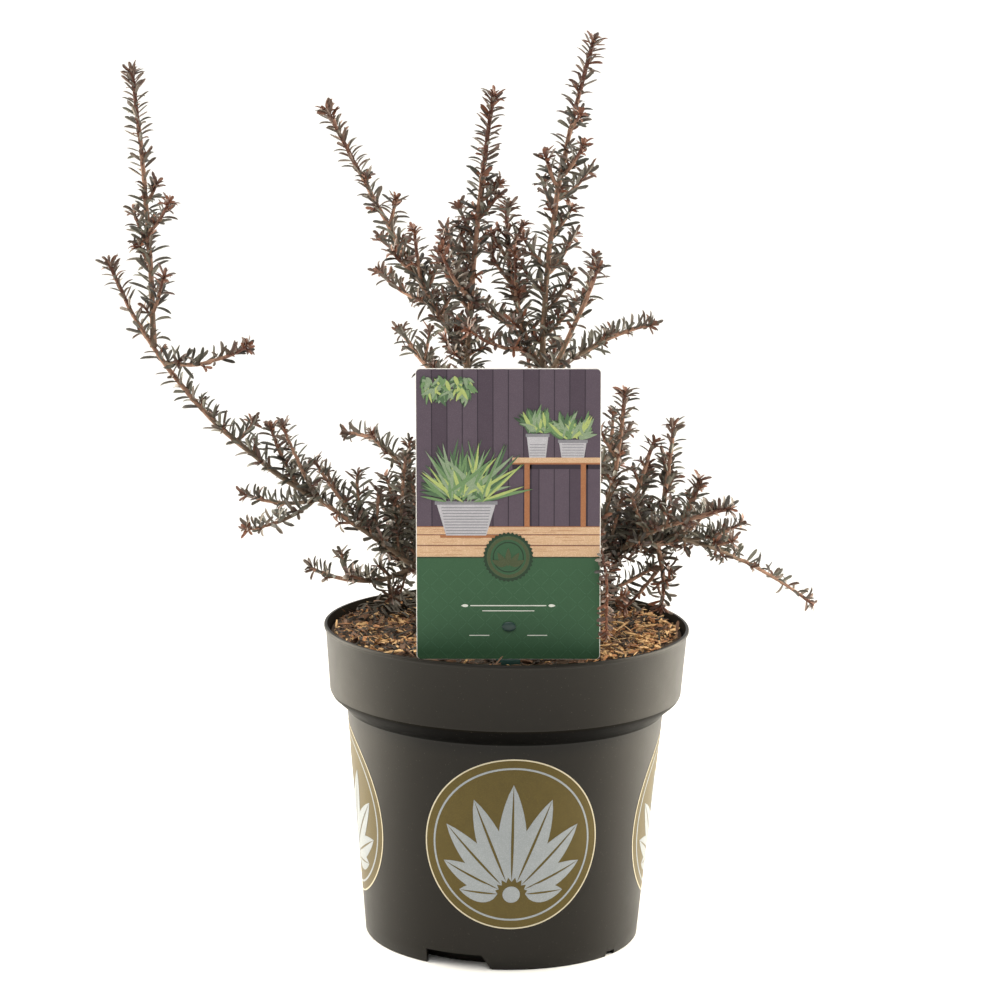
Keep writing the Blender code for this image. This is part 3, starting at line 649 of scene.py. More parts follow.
def make_pot():
    lip = [
        (RIM_RADIUS - 1.6, POT_HEIGHT), (RIM_RADIUS, POT_HEIGHT), (RIM_RADIUS, POT_HEIGHT - 1.6),
        (BAND_TOP_RADIUS, POT_HEIGHT - 2.8),
    ]
    outside = [
        (BAND_FOOT_RADIUS, BAND_FOOT_Z), (BAND_FOOT_RADIUS - 1.2, BAND_FOOT_Z - 2.2),
        (NECK_RADIUS + 1.6, NECK_Z + 1.9), (NECK_RADIUS, NECK_Z),
        (WALL_FOOT_RADIUS, WALL_FOOT_Z), (FOOT_RADIUS, 1.0), (FOOT_RADIUS - 0.8, 0.0),
        (FOOT_RADIUS - 2.6, 0.0), (FOOT_RADIUS - 2.4, GROOVE_HEIGHT),
        (GROOVE_INNER_RADIUS + 1.2, GROOVE_HEIGHT), (GROOVE_INNER_RADIUS - 1.0, 0.0), (0.0, 0.0),
    ]
    bm = turned(pot_inside() + lip + outside, POT_STEPS)
    for radius, z, offset, segments in (
        (RIM_RADIUS, POT_HEIGHT, 0.7, 3), (RIM_RADIUS, POT_HEIGHT - 1.6, 0.4, 2),
        (BAND_FOOT_RADIUS, BAND_FOOT_Z, 0.6, 3), (NECK_RADIUS, NECK_Z, 1.1, 4),
        (WALL_FOOT_RADIUS, WALL_FOOT_Z, 0.8, 3),
    ):
        rounded(bm, ring_edges(bm, radius, z), offset, segments)
    for face in bm.faces:
        middle = face.calc_center_median()
        if FLOOR < middle.z < POT_HEIGHT - 0.4 and face.normal.xy.dot(middle.xy) < 0:
            face.material_index = 1
        elif NECK_Z < middle.z < BAND_FOOT_Z:
            face.material_index = 2
    # The third finish, on the neck's slope under the band, is a painted shade: the same plastic, near black
    # there, with little gloss
    paints = [pot_plastic("taupe_plastic", 0.22), stained_plastic(), pot_plastic("painted_shade_plastic", 0.03)]
    pot = finish("pot_wall", bm, paints, "pot", "pot", sharp_deg=50.0)

    cutter = bmesh.new()
    for i in range(NOTCHES):
        width, height, slant = WIDE_NOTCH if i == 0 else SMALL_NOTCH
        notch = box((NOTCH_DEPTH, width, 2 * height), (FOOT_RADIUS, 0.0, 0.0))
        for vert in notch.verts:
            if vert.co.z < 0 < vert.co.y:
                vert.co.y += 2 * slant
        drain = bmesh.new()
        ops.create_cone(
            drain, cap_ends=True, segments=24, radius1=DRAIN_RADIUS, radius2=DRAIN_RADIUS, depth=12.0
        )
        middle = (GROOVE_INNER_RADIUS + FOOT_RADIUS - 1.2) / 2
        move(drain, (middle, 0.0, GROOVE_HEIGHT))
        turn = about("Z", NOTCH_FIRST_DEG + i * 360.0 / NOTCHES)
        for shape in (notch, drain):
            swing(shape, turn)
            add_to(cutter, shape)
    stretch(cutter, (MM, MM, MM))
    tool = stand("notches_and_drains", mesh_of("notches_and_drains", cutter))
    cut = pot.modifiers.new("Notches", "BOOLEAN")
    cut.operation = "DIFFERENCE"
    cut.solver = "EXACT"
    cut.use_self = True
    cut.object = tool
    graph = bpy.context.evaluated_depsgraph_get()
    made = bpy.data.meshes.new_from_object(pot.evaluated_get(graph))
    pot.modifiers.remove(cut)
    pot.data = made
    made.name = "pot_wall"
    bpy.data.objects.remove(tool)


class Print:
    """Flat printed shapes, x to the right and y up, each as thick as its layer is high."""

    def __init__(self):
        self.bm = bmesh.new()

    def lay(self, shape, tint, layer):
        """Gives a flat shape its tint and its thickness, and adds it to the print."""
        face_out(shape)
        for face in shape.faces:
            if face.normal.z < 0:
                face.normal_flip()
            face.material_index = tint
        top = ops.extrude_face_region(shape, geom=shape.faces[:])["geom"]
        raised = [g for g in top if isinstance(g, bmesh.types.BMVert)]
        ops.translate(shape, vec=(0, 0, INK * layer + INK), verts=raised)
        move(shape, (0, 0, -INK))
        face_out(shape)
        add_to(self.bm, shape)

    def panel(self, tint, layer, left, right, low, high, taper=0.0, turn=0.0, corner=0.0):
        """A four-sided panel. Its foot is narrower than its top by taper on each side.

        A corner above 0 rounds the two upper corners, and one below 0 rounds the two lower.
        """
        shape = bmesh.new()
        ops.create_grid(shape, x_segments=1, y_segments=1, size=0.5)
        for vert in shape.verts:
            inset = taper if vert.co.y < 0 else 0.0
            x = left + inset if vert.co.x < 0 else right - inset
            vert.co = (x, low if vert.co.y < 0 else high, 0.0)
        if corner:
            ends = [v for v in shape.verts if (v.co.y > (low + high) / 2) == (corner > 0)]
            ops.bevel(
                shape, geom=ends, offset=abs(corner), segments=6, profile=0.5, affect="VERTICES",
                material=-1,
            )
        middle = ((left + right) / 2, (low + high) / 2, 0.0)
        ops.rotate(shape, cent=middle, matrix=Matrix.Rotation(turn, 3, "Z"), verts=shape.verts)
        self.lay(shape, tint, layer)

    def disc(self, tint, layer, centre, radius, segments=48, scallops=0):
        shape = bmesh.new()
        ops.create_circle(shape, cap_ends=True, radius=radius, segments=segments)
        for vert in shape.verts:
            turn = math.atan2(vert.co.y, vert.co.x)
            vert.co *= 1.0 + (0.035 * math.cos(scallops * turn) if scallops else 0.0)
            vert.co += Vector((*centre, 0.0))
        self.lay(shape, tint, layer)

    def ring(self, tint, layer, centre, radius, width, segments=96):
        shape = bmesh.new()
        ops.create_circle(shape, cap_ends=True, radius=radius, segments=segments)
        middle = shape.faces[:]
        ops.inset_individual(shape, faces=middle, thickness=width, use_even_offset=True)
        ops.delete(shape, geom=middle, context="FACES_ONLY")
        move(shape, (*centre, 0.0))
        self.lay(shape, tint, layer)

    def leaf(self, tint, layer, foot, heading_deg, length, width, sides=(-1.0, 1.0), curl=0.0):
        """A pointed leaf, or one half of it, that runs from its foot and may curl to a side."""
        shape = bmesh.new()
        ops.create_grid(shape, x_segments=1, y_segments=10, size=0.5)
        turn = about("Z", heading_deg)
        for vert in shape.verts:
            along = vert.co.y + 0.5
            side = sides[0] if vert.co.x < 0 else sides[1]
            half = 0.5 * width * math.sin(math.pi * along ** 0.8) ** 0.8
            across = side * half + curl * length * along * along
            vert.co = Vector((*foot, 0.0)) + turn @ Vector((along * length, across, 0.0))
        weld(shape, 0.02)
        self.lay(shape, tint, layer)


def wall_radius(z):
    share = (z - WALL_FOOT_Z) / (NECK_Z - WALL_FOOT_Z)
    return WALL_FOOT_RADIUS + (NECK_RADIUS - WALL_FOOT_RADIUS) * share


def make_roundels():
    """Round prints of a fan of leaves, wrapped on the pot's wall."""
    art = Print()
    art.disc(0, 1, (0, 0), ROUNDEL_RADIUS, segments=96)
    art.ring(1, 2, (0, 0), ROUNDEL_RADIUS, ROUNDEL_EDGE)
    art.ring(2, 2, (0, 0), ROUNDEL_RADIUS - 4.6, 1.0)
    foot = (0.0, -27.0)
    for i in range(-4, 5):
        heading = 90.0 - i * 22.0
        ahead = -foot[1] * math.sin(math.radians(heading))
        room = ahead + math.sqrt(ahead * ahead + (ROUNDEL_RADIUS - 8.5) ** 2 - foot[1] ** 2)
        long = min(59.0 - 4.6 * abs(i), room)
        curl = 0.03 * i / 4
        layer = 2 + 0.4 * (4 - abs(i)) + 0.2 * (i > 0)
        for sides in ((-1.0, -0.1), (0.1, 1.0)):
            start = Vector(foot) + 7.0 * direction(heading, 0.0).xy
            art.leaf(2, layer, start, heading, long - 7.0, 14.5 - abs(i), sides, curl)
    art.disc(2, 2, foot, 4.4)
    bm = art.bm
    strips = math.floor(ROUNDEL_RADIUS / ROUNDEL_STRIP)
    for i in range(-strips, strips + 1):
        plane = (i * ROUNDEL_STRIP, 0.0, 0.0)
        ops.bisect_plane(bm, geom=everything(bm), dist=0.0001, plane_co=plane, plane_no=(1, 0, 0))
    slope = math.atan((NECK_RADIUS - WALL_FOOT_RADIUS) / (NECK_Z - WALL_FOOT_Z))
    first = math.radians(ROUNDEL_FIRST_DEG)
    for vert in bm.verts:
        x, y, lift = vert.co
        z = ROUNDEL_Z + y * math.cos(slope)
        turn = first + x / wall_radius(z)
        radius = wall_radius(z) + lift
        vert.co = (radius * math.cos(turn), radius * math.sin(turn), z)
    ops.spin(
        bm, geom=everything(bm), cent=(0, 0, 0), axis=(0, 0, 1),
        dvec=(0, 0, 0), angle=math.tau * (ROUNDELS - 1) / ROUNDELS, steps=ROUNDELS - 1,
        use_duplicate=True,
    )
    paints = [
        ink("bronze_ink", (0.062, 0.043, 0.005), (0.098, 0.070, 0.010), 0.5, 0.2, 0.35),
        ink("cream_ink", (0.42, 0.38, 0.27), (0.56, 0.5, 0.37), 0.5),
        ink("silver_ink", (0.21, 0.232, 0.245), (0.305, 0.328, 0.35), 0.5, 0.2),
    ]
    finish("pot_roundels", bm, paints, "pot", sharp_deg=30.0)


def bed_height(x, y):
    """The compost's uneven top."""
    far = math.hypot(x, y)
    slow = noise.noise(Vector((x, y, 3.0)) / 17.0)
    quick = noise.noise(Vector((x, y, 7.0)) / 3.6)
    edge = min(1.0, max(0.0, (91.0 - far) / 8.0))
    mound = 1.2 * math.exp(-far * far / 900.0)
    under_card = math.exp(-(((y - CARD_FOOT.y) / 7.0) ** 2)) if abs(x - CARD_FOOT.x) < 48.0 else 0.0
    bank = 2.6 * min(1.0, far / 84.0) ** 3 * min(1.0, max(0.0, (y + 62.0) / 20.0))
    return SOIL + 0.2 + (1.5 * slow + 1.2 * quick) * edge + mound + bank - 1.4 * under_card


def make_compost():
    inside = [(max(0.0, r - 0.3), z + 0.3) for r, z in pot_inside()[:-1]]
    edge = BAND_TOP_RADIUS - WALL - 1.2
    rings = [(edge * i / 60, SOIL) for i in range(61)]
    bm = turned(rings + inside[::-1], BED_STEPS)
    for vert in bm.verts:
        if vert.co.z > SOIL - 0.1:
            vert.co.z = bed_height(vert.co.x, vert.co.y)
    paint = Paint("compost_crumb", (0.03, 0.018, 0.011), 0.95)
    crumbs = paint.noise(2.2, 5.0)
    dark = (0.009, 0.006, 0.004)
    paint.shades(crumbs * 1.4 - 0.2, dark, (0.085, 0.048, 0.025))
    paint.bump(crumbs, 0.9)
    finish("compost_bed", bm, [paint], "compost", "compost", sharp_deg=80.0)
    scatter_mulch()


def arrays_of(bm):
    bm.verts.index_update()
    verts = np.array([vert.co[:] for vert in bm.verts])
    faces = np.array([[vert.index for vert in face.verts] for face in bm.faces])
    tints = np.array([face.material_index for face in bm.faces])
    bm.free()
    return Shape(verts, faces, tints)


def stamp(name, shapes, places, paints, slot, *nodes, sharp_deg=50.0):
    """One joined mesh of many small shapes. A place is a shape's number and its matrix."""
    points, corners, tints = [], [], []
    count = 0
    for number, shape in enumerate(shapes):
        matrices = np.array([matrix for chosen, matrix in places if chosen == number])
        if not len(matrices):
            continue
        here = np.einsum("nij,vj->nvi", matrices[:, :3, :3], shape.verts) + matrices[:, None, :3, 3]
        steps = count + np.arange(len(matrices)) * len(shape.verts)
        points.append(here.reshape(-1, 3))
        corners.append((shape.faces[None] + steps[:, None, None]).reshape(-1, shape.faces.shape[1]))
        tints.append(np.tile(shape.tints, len(matrices)))
        count += len(points[-1])
    points = np.concatenate(points) * MM
    corners = np.concatenate(corners)
    mesh = bpy.data.meshes.new(name)
    mesh.vertices.add(len(points))
    mesh.vertices.foreach_set("co", points.ravel())
    mesh.loops.add(corners.size)
    mesh.loops.foreach_set("vertex_index", corners.ravel().astype(np.int32))
    mesh.polygons.add(len(corners))
    mesh.polygons.foreach_set("loop_start", np.arange(len(corners)) * corners.shape[1])
    mesh.polygons.foreach_set("material_index", np.concatenate(tints).astype(np.int32))
    mesh.update(calc_edges=True)
    return finish_mesh(name, mesh, paints, slot, *nodes, sharp_deg=sharp_deg)


def placed(root, across, face, way):
    """A matrix from the four columns that set where a small shape stands."""
    return np.array([[across[i], face[i], way[i], root[i]] for i in range(3)] + [[0, 0, 0, 1]])


def bark_chip(seed, size):
    """An irregular flake of bark."""
    bm = bmesh.new()
    ops.create_icosphere(bm, subdivisions=1, radius=0.5)
    for vert in bm.verts:
        vert.co *= 1.0 + 0.45 * noise.noise(vert.co * 3.0 + Vector((seed * 7.0, 0.0, 0.0)))
    stretch(bm, size)
    return arrays_of(bm)


def blade(length, width, thickness, bend_deg, steps=LEAF_STEPS, fold=0.24, waist=0.35):
    """A closed narrow blade that runs up Z and bends back towards -Y, with a groove down its face."""
    bm = bmesh.new()
    bend = math.radians(bend_deg)
    for tint in (0, 1):
        before = set(bm.verts)
        faces_before = set(bm.faces)
        ops.create_grid(bm, x_segments=2, y_segments=steps, size=1.0)
        for vert in set(bm.verts) - before:
            along = 1.0 - (0.5 - 0.5 * vert.co.y) ** 1.5
            foot = waist + (1.0 - waist) * min(1.0, along / 0.32)
            outline = max(0.12, foot * min(1.0, 6.0 * (1.0 - along)) ** 0.5)
            side = vert.co.x
            depth = thickness * math.sin(math.pi * along) * (1.0 - abs(side)) if tint else 0.0
            back = length / bend * (1.0 - math.cos(bend * along))
            vert.co = (
                side * 0.5 * width * outline,
                -back - depth + fold * width * outline * abs(side),
                length / bend * math.sin(bend * along),
            )
        for face in set(bm.faces) - faces_before:
            face.material_index = tint
    weld(bm, 0.002)
    face_out(bm)
    return bm


def leaf_blades():
    return [arrays_of(blade(LEAF_UNIT, LEAF_WIDTH, LEAF_THICKNESS, bend)) for bend in LEAF_BENDS_DEG]


def scatter_mulch():
    """Bark flakes, fibres and a few fallen leaves on the compost."""
    dice = random.Random("mulch")
    tints = {
        "straw_tan": ((0.36, 0.19, 0.07), (0.82, 0.56, 0.28), 0.32),
        "orange_brown": ((0.18, 0.07, 0.022), (0.48, 0.23, 0.09), 0.22),
        "bark_brown": ((0.05, 0.025, 0.013), (0.19, 0.095, 0.05), 0.24),
        "peat_dark": ((0.010, 0.008, 0.006), (0.045, 0.036, 0.027), 0.22),
    }
    flakes = [
        bark_chip(seed, size) for seed, size in enumerate(CHIP_SIZES, 1)
    ]
    fibres = [arrays_of(blade(1.0, 0.13, 0.05, bend, steps=4)) for bend in (20.0, 80.0, 150.0)]
    for name, (dark, light, share) in tints.items():
        paint = bark_finish(name, dark, light, 1.6, 0.25)
        places = []
        for _ in range(round(CHIPS * share)):
            root, turn = resting_place(dice, 2.4)
            if out_of_patch(dice, name, root):
                continue
            long = 1.6 + 8.0 * dice.random() ** 2.4
            turn = turn @ Matrix.Rotation(dice.uniform(-0.7, 0.7), 3, "X")
            sides = [turn.col[i] * long * dice.uniform(0.8, 1.2) for i in range(3)]
            place = placed(root, *sides)
            if tip_stays(place, 0, 0.6) and tip_stays(place, 0, -0.6):
                places.append((dice.randrange(len(flakes)), place))
        for x, y, heading, long in LARGE_CHIPS.get(name, ()):
            turn = about("Z", heading) @ Matrix.Rotation(-0.12, 3, "Y")
            root = (x, y, bed_height(x, y) + 2.2)
            places.append((2, placed(root, *(turn.col[i] * long for i in range(3)))))
        stamp(f"mulch_{name}_flakes", flakes, places, [paint], "compost", sharp_deg=30.0)
        places = []
        for _ in range(round(FIBRES * share)):
            root, turn = resting_place(dice, 3.0)
            if out_of_patch(dice, name, root):
                continue
            long = 3.0 + 9.0 * dice.random() ** 2.0
            across, way, face = (turn.col[i] for i in (1, 0, 2))
            sides = (across * long * dice.uniform(0.7, 1.5), face * 0.35 * long, way * long)
            places.append((dice.randrange(len(fibres)), placed(root, *sides)))
        places = [place for place in places if tip_stays(place[1], 2, 1.0)]
        stamp(f"mulch_{name}_fibres", fibres, places, [paint, paint], "compost")


def out_of_patch(dice, tint, root):
    """Whether a piece of this tint is left out here: pale and dark pieces lie in patches, with more pale
    ones towards the right, and in front of the card's foot most pale pieces are left out as a painted shade.
    """
    patch = noise.noise(Vector((root[0], root[1], 11.0)) / 11.0) + 0.0014 * root[0]
    if tint in ("straw_tan", "orange_brown"):
        # Painted shade: in front of the card's foot most pale pieces are left out, so the strip there reads
        # dark
        painted_shade_by_card = root[1] < CARD_FOOT.y + 18.0 and abs(root[0]) < 43.0
        return dice.random() < (0.9 if painted_shade_by_card else 0.45 - 2.4 * patch)
    return dice.random() < 0.2 + 1.6 * patch


def tip_stays(place, axis, share):
    """Whether the end of a flake or a fibre, too, is inside the pot and clear of the card."""
    x, y, z = place[:3, 3] + place[:3, axis] * share
    by_card = abs(y - CARD_FOOT.y) < 8.0 and abs(x - CARD_FOOT.x) < CARD_WIDTH / 2 + 2.0
    return math.hypot(x, y) < 90.5 and not (by_card and z > CARD_FOOT.z - 1.0)


def resting_place(dice, lift):
    """A spot on the bed, and the turn of something that lies there."""
    far = 90.0 * math.sqrt(dice.random())
    turn = dice.uniform(0.0, math.tau)
    x, y = far * math.cos(turn), far * math.sin(turn)
    lean = Matrix.Rotation(dice.gauss(0.0, 0.3), 3, "Y")
    heading = Matrix.Rotation(dice.uniform(0.0, math.tau), 3, "Z")
    return (x, y, bed_height(x, y) + dice.uniform(0.0, lift)), heading @ lean


def upright_card(bm):
    """Stands a flat print, x to the right and y up, on the card's face."""
    back = Matrix(((1, 0, 0), (0, 0, -1), (0, 1, 0)))
    swing(bm, back)
    swing(bm, about("Y", -CARD_TURN_DEG))
    move(bm, CARD_FOOT)


def make_card():
    bm = box((CARD_WIDTH, CARD_HEIGHT, CARD_THICKNESS), (0.0, CARD_HEIGHT / 2, 0.0))
    upright = [e for e in bm.edges if abs(e.verts[0].co.z - e.verts[1].co.z) > CARD_THICKNESS / 2]
    rounded(bm, upright, CARD_CORNER, 8)
    faces = [f for f in bm.faces if abs(f.normal.z) > 0.9]
    rounded(bm, list({e for f in faces for e in f.edges}), 0.12, 2)
    upright_card(bm)
    paint = Paint("white_card", (0.78, 0.77, 0.74), 0.42)
    paint.shades(paint.noise(3.0, 4.0), (0.72, 0.71, 0.68), (0.8, 0.79, 0.76))
    paint.dress("Roughness", 0.36 + paint.noise(8.0) * 0.12)
    finish("label_card_board", bm, [paint], "card", "label_card", sharp_deg=30.0)


def make_card_print():
    """A plain garden picture over a green panel, in the colours of such labels."""
    plum, plum_dark, panel, panel_dark, panel_pale, wood, wood_dark, stone, stone_dark, cream = range(10)
    plum_deep, olive, deep_leaf, dark_leaf, green_leaf, grey_leaf, lime_leaf = range(10, 17)
    depths = ((deep_leaf, dark_leaf), (dark_leaf, green_leaf, grey_leaf), (green_leaf, grey_leaf, lime_leaf))
    half = CARD_WIDTH / 2 - CARD_EDGE
    top = CARD_HEIGHT - CARD_EDGE
    art = Print()
    dice = random.Random("print")

    def leaves(count, feet, headings, lengths, widths, bend, low):
        """Leaves in front of each other, from dark to pale, none beyond the picture's sides."""
        for i in range(count):
            foot = (dice.uniform(*feet[0]), dice.uniform(*feet[1]))
            heading = dice.uniform(*headings)
            long = dice.uniform(*lengths)
            aside = math.cos(math.radians(heading))
            room = (half - 2.0 - math.copysign(1.0, aside) * foot[0]) / max(0.05, abs(aside))
            tint = dice.choice(depths[3 * i // count])
            curl = dice.uniform(-bend, bend)
            if room > 3.0:
                wide = dice.uniform(*widths)
                art.leaf(tint, low + i * LEAF_LAYER, foot, heading, min(long, room), wide, curl=curl)

    art.panel(plum, 1, -half, half, PANEL_HEIGHT, top, corner=2.0)
    for i in range(1, 12):
        x = -half + i * 2 * half / 12
        if i % 3 == 1:
            art.panel(plum_deep, 1.3, x, x + half / 6, PANEL_HEIGHT + 14, top - 0.2)
        art.panel(plum_dark, 1.6, x - 0.25, x + 0.25, PANEL_HEIGHT + 14, top - 0.2)
    for i, low in enumerate((PANEL_HEIGHT, PANEL_HEIGHT + 6.2, PANEL_HEIGHT + 11.6)):
        high = (PANEL_HEIGHT + 5.9, PANEL_HEIGHT + 11.4, PANEL_HEIGHT + 15.6)[i]
        art.panel(wood, 2, -half, half, low, high)
        art.panel(wood_dark, 2.3, -half, half, high - 0.4, high)
        for _ in range(14):
            x, y = dice.uniform(-half + 1.0, half - 14.0), dice.uniform(low + 0.8, high - 1.2)
            art.panel(wood_dark, 2.3, x, x + dice.uniform(4.0, 12.0), y, y + 0.12)
    shelf = PANEL_HEIGHT + 47.0
    boards = ((plum_dark, 1.9, -2.4, 0.0), (wood, 2.4, 0.0, 3.4), (wood_dark, 2.7, 0.0, 0.8))
    for tint, layer, low, high in boards:
        art.panel(tint, layer, 2.0, half, shelf + low, shelf + high)
    for x in (8.0, 36.0):
        art.panel(plum_dark, 1.9, x + 2.6, x + 3.6, PANEL_HEIGHT + 15.6, shelf)
        art.panel(wood_dark, 2.1, x, x + 2.6, PANEL_HEIGHT + 15.6, shelf)

    bowl = PANEL_HEIGHT + 11.0
    art.panel(wood_dark, 2.6, -34.0, -4.0, bowl - 1.2, bowl)
    art.panel(stone, 3, -36.0, -6.0, bowl, bowl + 17.0, taper=5.0)
    art.panel(stone_dark, 4, -36.6, -5.4, bowl + 15.6, bowl + 17.4)
    for i in range(10):
        inset = 0.27 * (10 - i)
        low = bowl + 0.8 + i * 1.45
        art.panel(stone_dark, 4, -33.6 + inset, -8.4 - inset, low, low + 0.45)
    feet = ((-31.0, -11.0), (bowl + 16.5, bowl + 22.0))
    leaves(150, feet, (12.0, 168.0), (10.0, 30.0), (1.0, 2.2), 0.12, 5)
    for x, wide, high, low in ((9.0, 11.0, 12.0, 5.0), (25.0, 14.0, 9.0, 5.03)):
        foot = shelf + 3.4
        art.panel(stone, 3, x, x + wide, foot, foot + high, taper=1.4)
        for i in range(5):
            rib = foot + 0.8 + 1.4 * i
            art.panel(stone_dark, 4, x + 1.6, x + wide - 1.6, rib, rib + 0.3)
        art.panel(stone_dark, 4, x - 0.4, x + wide + 0.4, foot + high - 1.6, foot + high)
        feet = ((x + 1.0, x + wide - 1.0), (foot + high, foot + high + 4.0))
        leaves(80, feet, (20.0, 160.0), (5.0, 13.0), (1.1, 2.2), 0.15, low)
    feet = ((-half + 2.5, -half + 27.0), (top - 13.0, top - 3.0))
    leaves(150, feet, (205.0, 335.0), (3.0, 7.0), (1.1, 2.2), 0.2, 5)

    art.panel(panel, 5, -half, half, CARD_EDGE, PANEL_HEIGHT, corner=-2.0)
    art.panel(panel_dark, 6, -half, half, PANEL_HEIGHT - 0.5, PANEL_HEIGHT + 0.1)
    for i in range(-9, 10):
        for j in range(-5, 5):
            x, y = i * 4.6, 26.0 + j * 4.6
            turn = math.radians(45.0 if (i + j) % 2 else -45.0)
            art.panel(panel_pale, 6, x - 2.6, x + 2.6, y - 0.14, y + 0.14, turn=turn)
    seal = (0.0, PANEL_HEIGHT)
    art.disc(panel_dark, 7, seal, SEAL_RADIUS + 0.3, segments=144, scallops=36)
    art.disc(panel, 8, seal, SEAL_RADIUS - 1.2)
    art.ring(olive, 9, seal, SEAL_RADIUS - 1.4, 1.7)
    art.ring(panel_dark, 9, seal, SEAL_RADIUS - 4.2, 0.6)
    for i in range(5):
        heading = 90.0 + (i - 2) * 32.0
        foot = (2.0 * math.cos(math.radians(heading)), PANEL_HEIGHT - 4.6)
        art.leaf(olive, 10 + i, foot, heading, 9.4 - abs(i - 2) * 1.2, 2.9)
    art.panel(cream, 7, -19.0, 19.0, 27.4, 27.9)
    art.panel(cream, 7, -13.0, 13.0, 24.8, 25.2)
    for side in (-1.0, 1.0):
        art.leaf(cream, 7, (side * 20.0, 27.65), 90.0 - side * 90.0, 3.6, 1.5)
        art.panel(cream, 7, side * 14.5 - 5.0, side * 14.5 + 5.0, 12.2, 12.6)
    bm = art.bm
    move(bm, (0, 0, CARD_THICKNESS / 2))
    upright_card(bm)
    colours = (
        ("plum", (0.086, 0.064, 0.086), (0.118, 0.090, 0.116)),
        ("plum_shadow", (0.030, 0.022, 0.032), (0.042, 0.032, 0.044)),
        ("green", (0.036, 0.092, 0.046), (0.045, 0.109, 0.056)),
        ("green_shadow", (0.020, 0.042, 0.024), (0.028, 0.054, 0.032)),
        ("green_pale", (0.050, 0.122, 0.066), (0.059, 0.138, 0.075)),
        ("wood", (0.52, 0.33, 0.19), (0.72, 0.52, 0.36)),
        ("wood_shadow", (0.3, 0.12, 0.055), (0.42, 0.19, 0.09)),
        ("stone", (0.4, 0.39, 0.42), (0.56, 0.55, 0.58)),
        ("stone_shadow", (0.2, 0.2, 0.22), (0.29, 0.28, 0.31)),
        ("cream", (0.66, 0.68, 0.62), (0.76, 0.77, 0.71)),
        ("plum_deep", (0.064, 0.046, 0.064), (0.088, 0.066, 0.088)),
        ("olive", (0.058, 0.074, 0.036), (0.080, 0.098, 0.052)),
        ("leaf_deep", (0.034, 0.058, 0.034), (0.050, 0.084, 0.048)),
        ("leaf_dark", (0.070, 0.125, 0.066), (0.104, 0.178, 0.094)),
        ("leaf_green", (0.125, 0.215, 0.095), (0.195, 0.310, 0.150)),
        ("leaf_grey", (0.200, 0.270, 0.170), (0.310, 0.385, 0.260)),
        ("leaf_lime", (0.330, 0.400, 0.130), (0.480, 0.550, 0.220)),
    )
    inks = [ink(f"print_{name}", dark, light, 0.45, gloss=0.2) for name, dark, light in colours]
    finish("label_card_print", bm, inks, "card", sharp_deg=30.0)


def make_stake():
    high = STAKE_TOP_Z - STAKE_POINT_Z
    bm = box(
        (STAKE_WIDTH, STAKE_THICKNESS, high), (CARD_FOOT.x, STAKE_Y, STAKE_POINT_Z + high / 2)
    )
    shoulder = (0.0, 0.0, STAKE_POINT_Z + STAKE_TAPER)
    ops.bisect_plane(bm, geom=everything(bm), dist=0.0001, plane_co=shoulder, plane_no=UP)
    for vert in bm.verts:
        if vert.co.z < STAKE_POINT_Z + 1.0:
            vert.co.x = CARD_FOOT.x + (vert.co.x - CARD_FOOT.x) * STAKE_POINT_SHARE
    rounded(bm, [e for e in bm.edges if e.calc_face_angle(0.0) > 0.5], 0.35, 2)
    depth = STAKE_Y - HEAD_Y
    wide, tall = PEG_SIZE
    peg = bmesh.new()
    ops.create_uvsphere(peg, u_segments=32, v_segments=16, radius=1.0)
    for vert in peg.verts:
        flat = math.copysign(abs(vert.co.z) ** 0.6, vert.co.z)
        x, y = vert.co.x * wide / 2, vert.co.y * tall / 2
        vert.co = (CARD_FOOT.x + x, HEAD_Y - flat * HEAD_THICKNESS / 2, PEG_Z + y)
    add_to(bm, peg)
    hook_wide, hook_high = HOOK_SIZE
    middle = (STAKE_Y + HEAD_Y) / 2
    pieces = (
        ((wide - 2.0, depth, tall - 1.6), (CARD_FOOT.x, middle, PEG_Z)),
        ((hook_wide - 2.0, depth, 2.0), (CARD_FOOT.x, middle, HOOK_Z - 0.6)),
        ((hook_wide, HEAD_THICKNESS, hook_high), (CARD_FOOT.x, HEAD_Y, HOOK_Z + 0.5)),
    )
    for size, centre in pieces:
        part = box(size, centre)
        rounded(part, part.edges[:], 0.3, 2)
        add_to(bm, part)
    paint = Paint("dark_green_plastic", (0.012, 0.04, 0.034), 0.32)
    paint.shades(paint.noise(6.0, 3.0), (0.008, 0.03, 0.026), (0.016, 0.05, 0.042))
    paint.bump(paint.noise(1.2), 0.02)
    finish("label_stake_and_peg", bm, [paint], "stake", "label_stake")


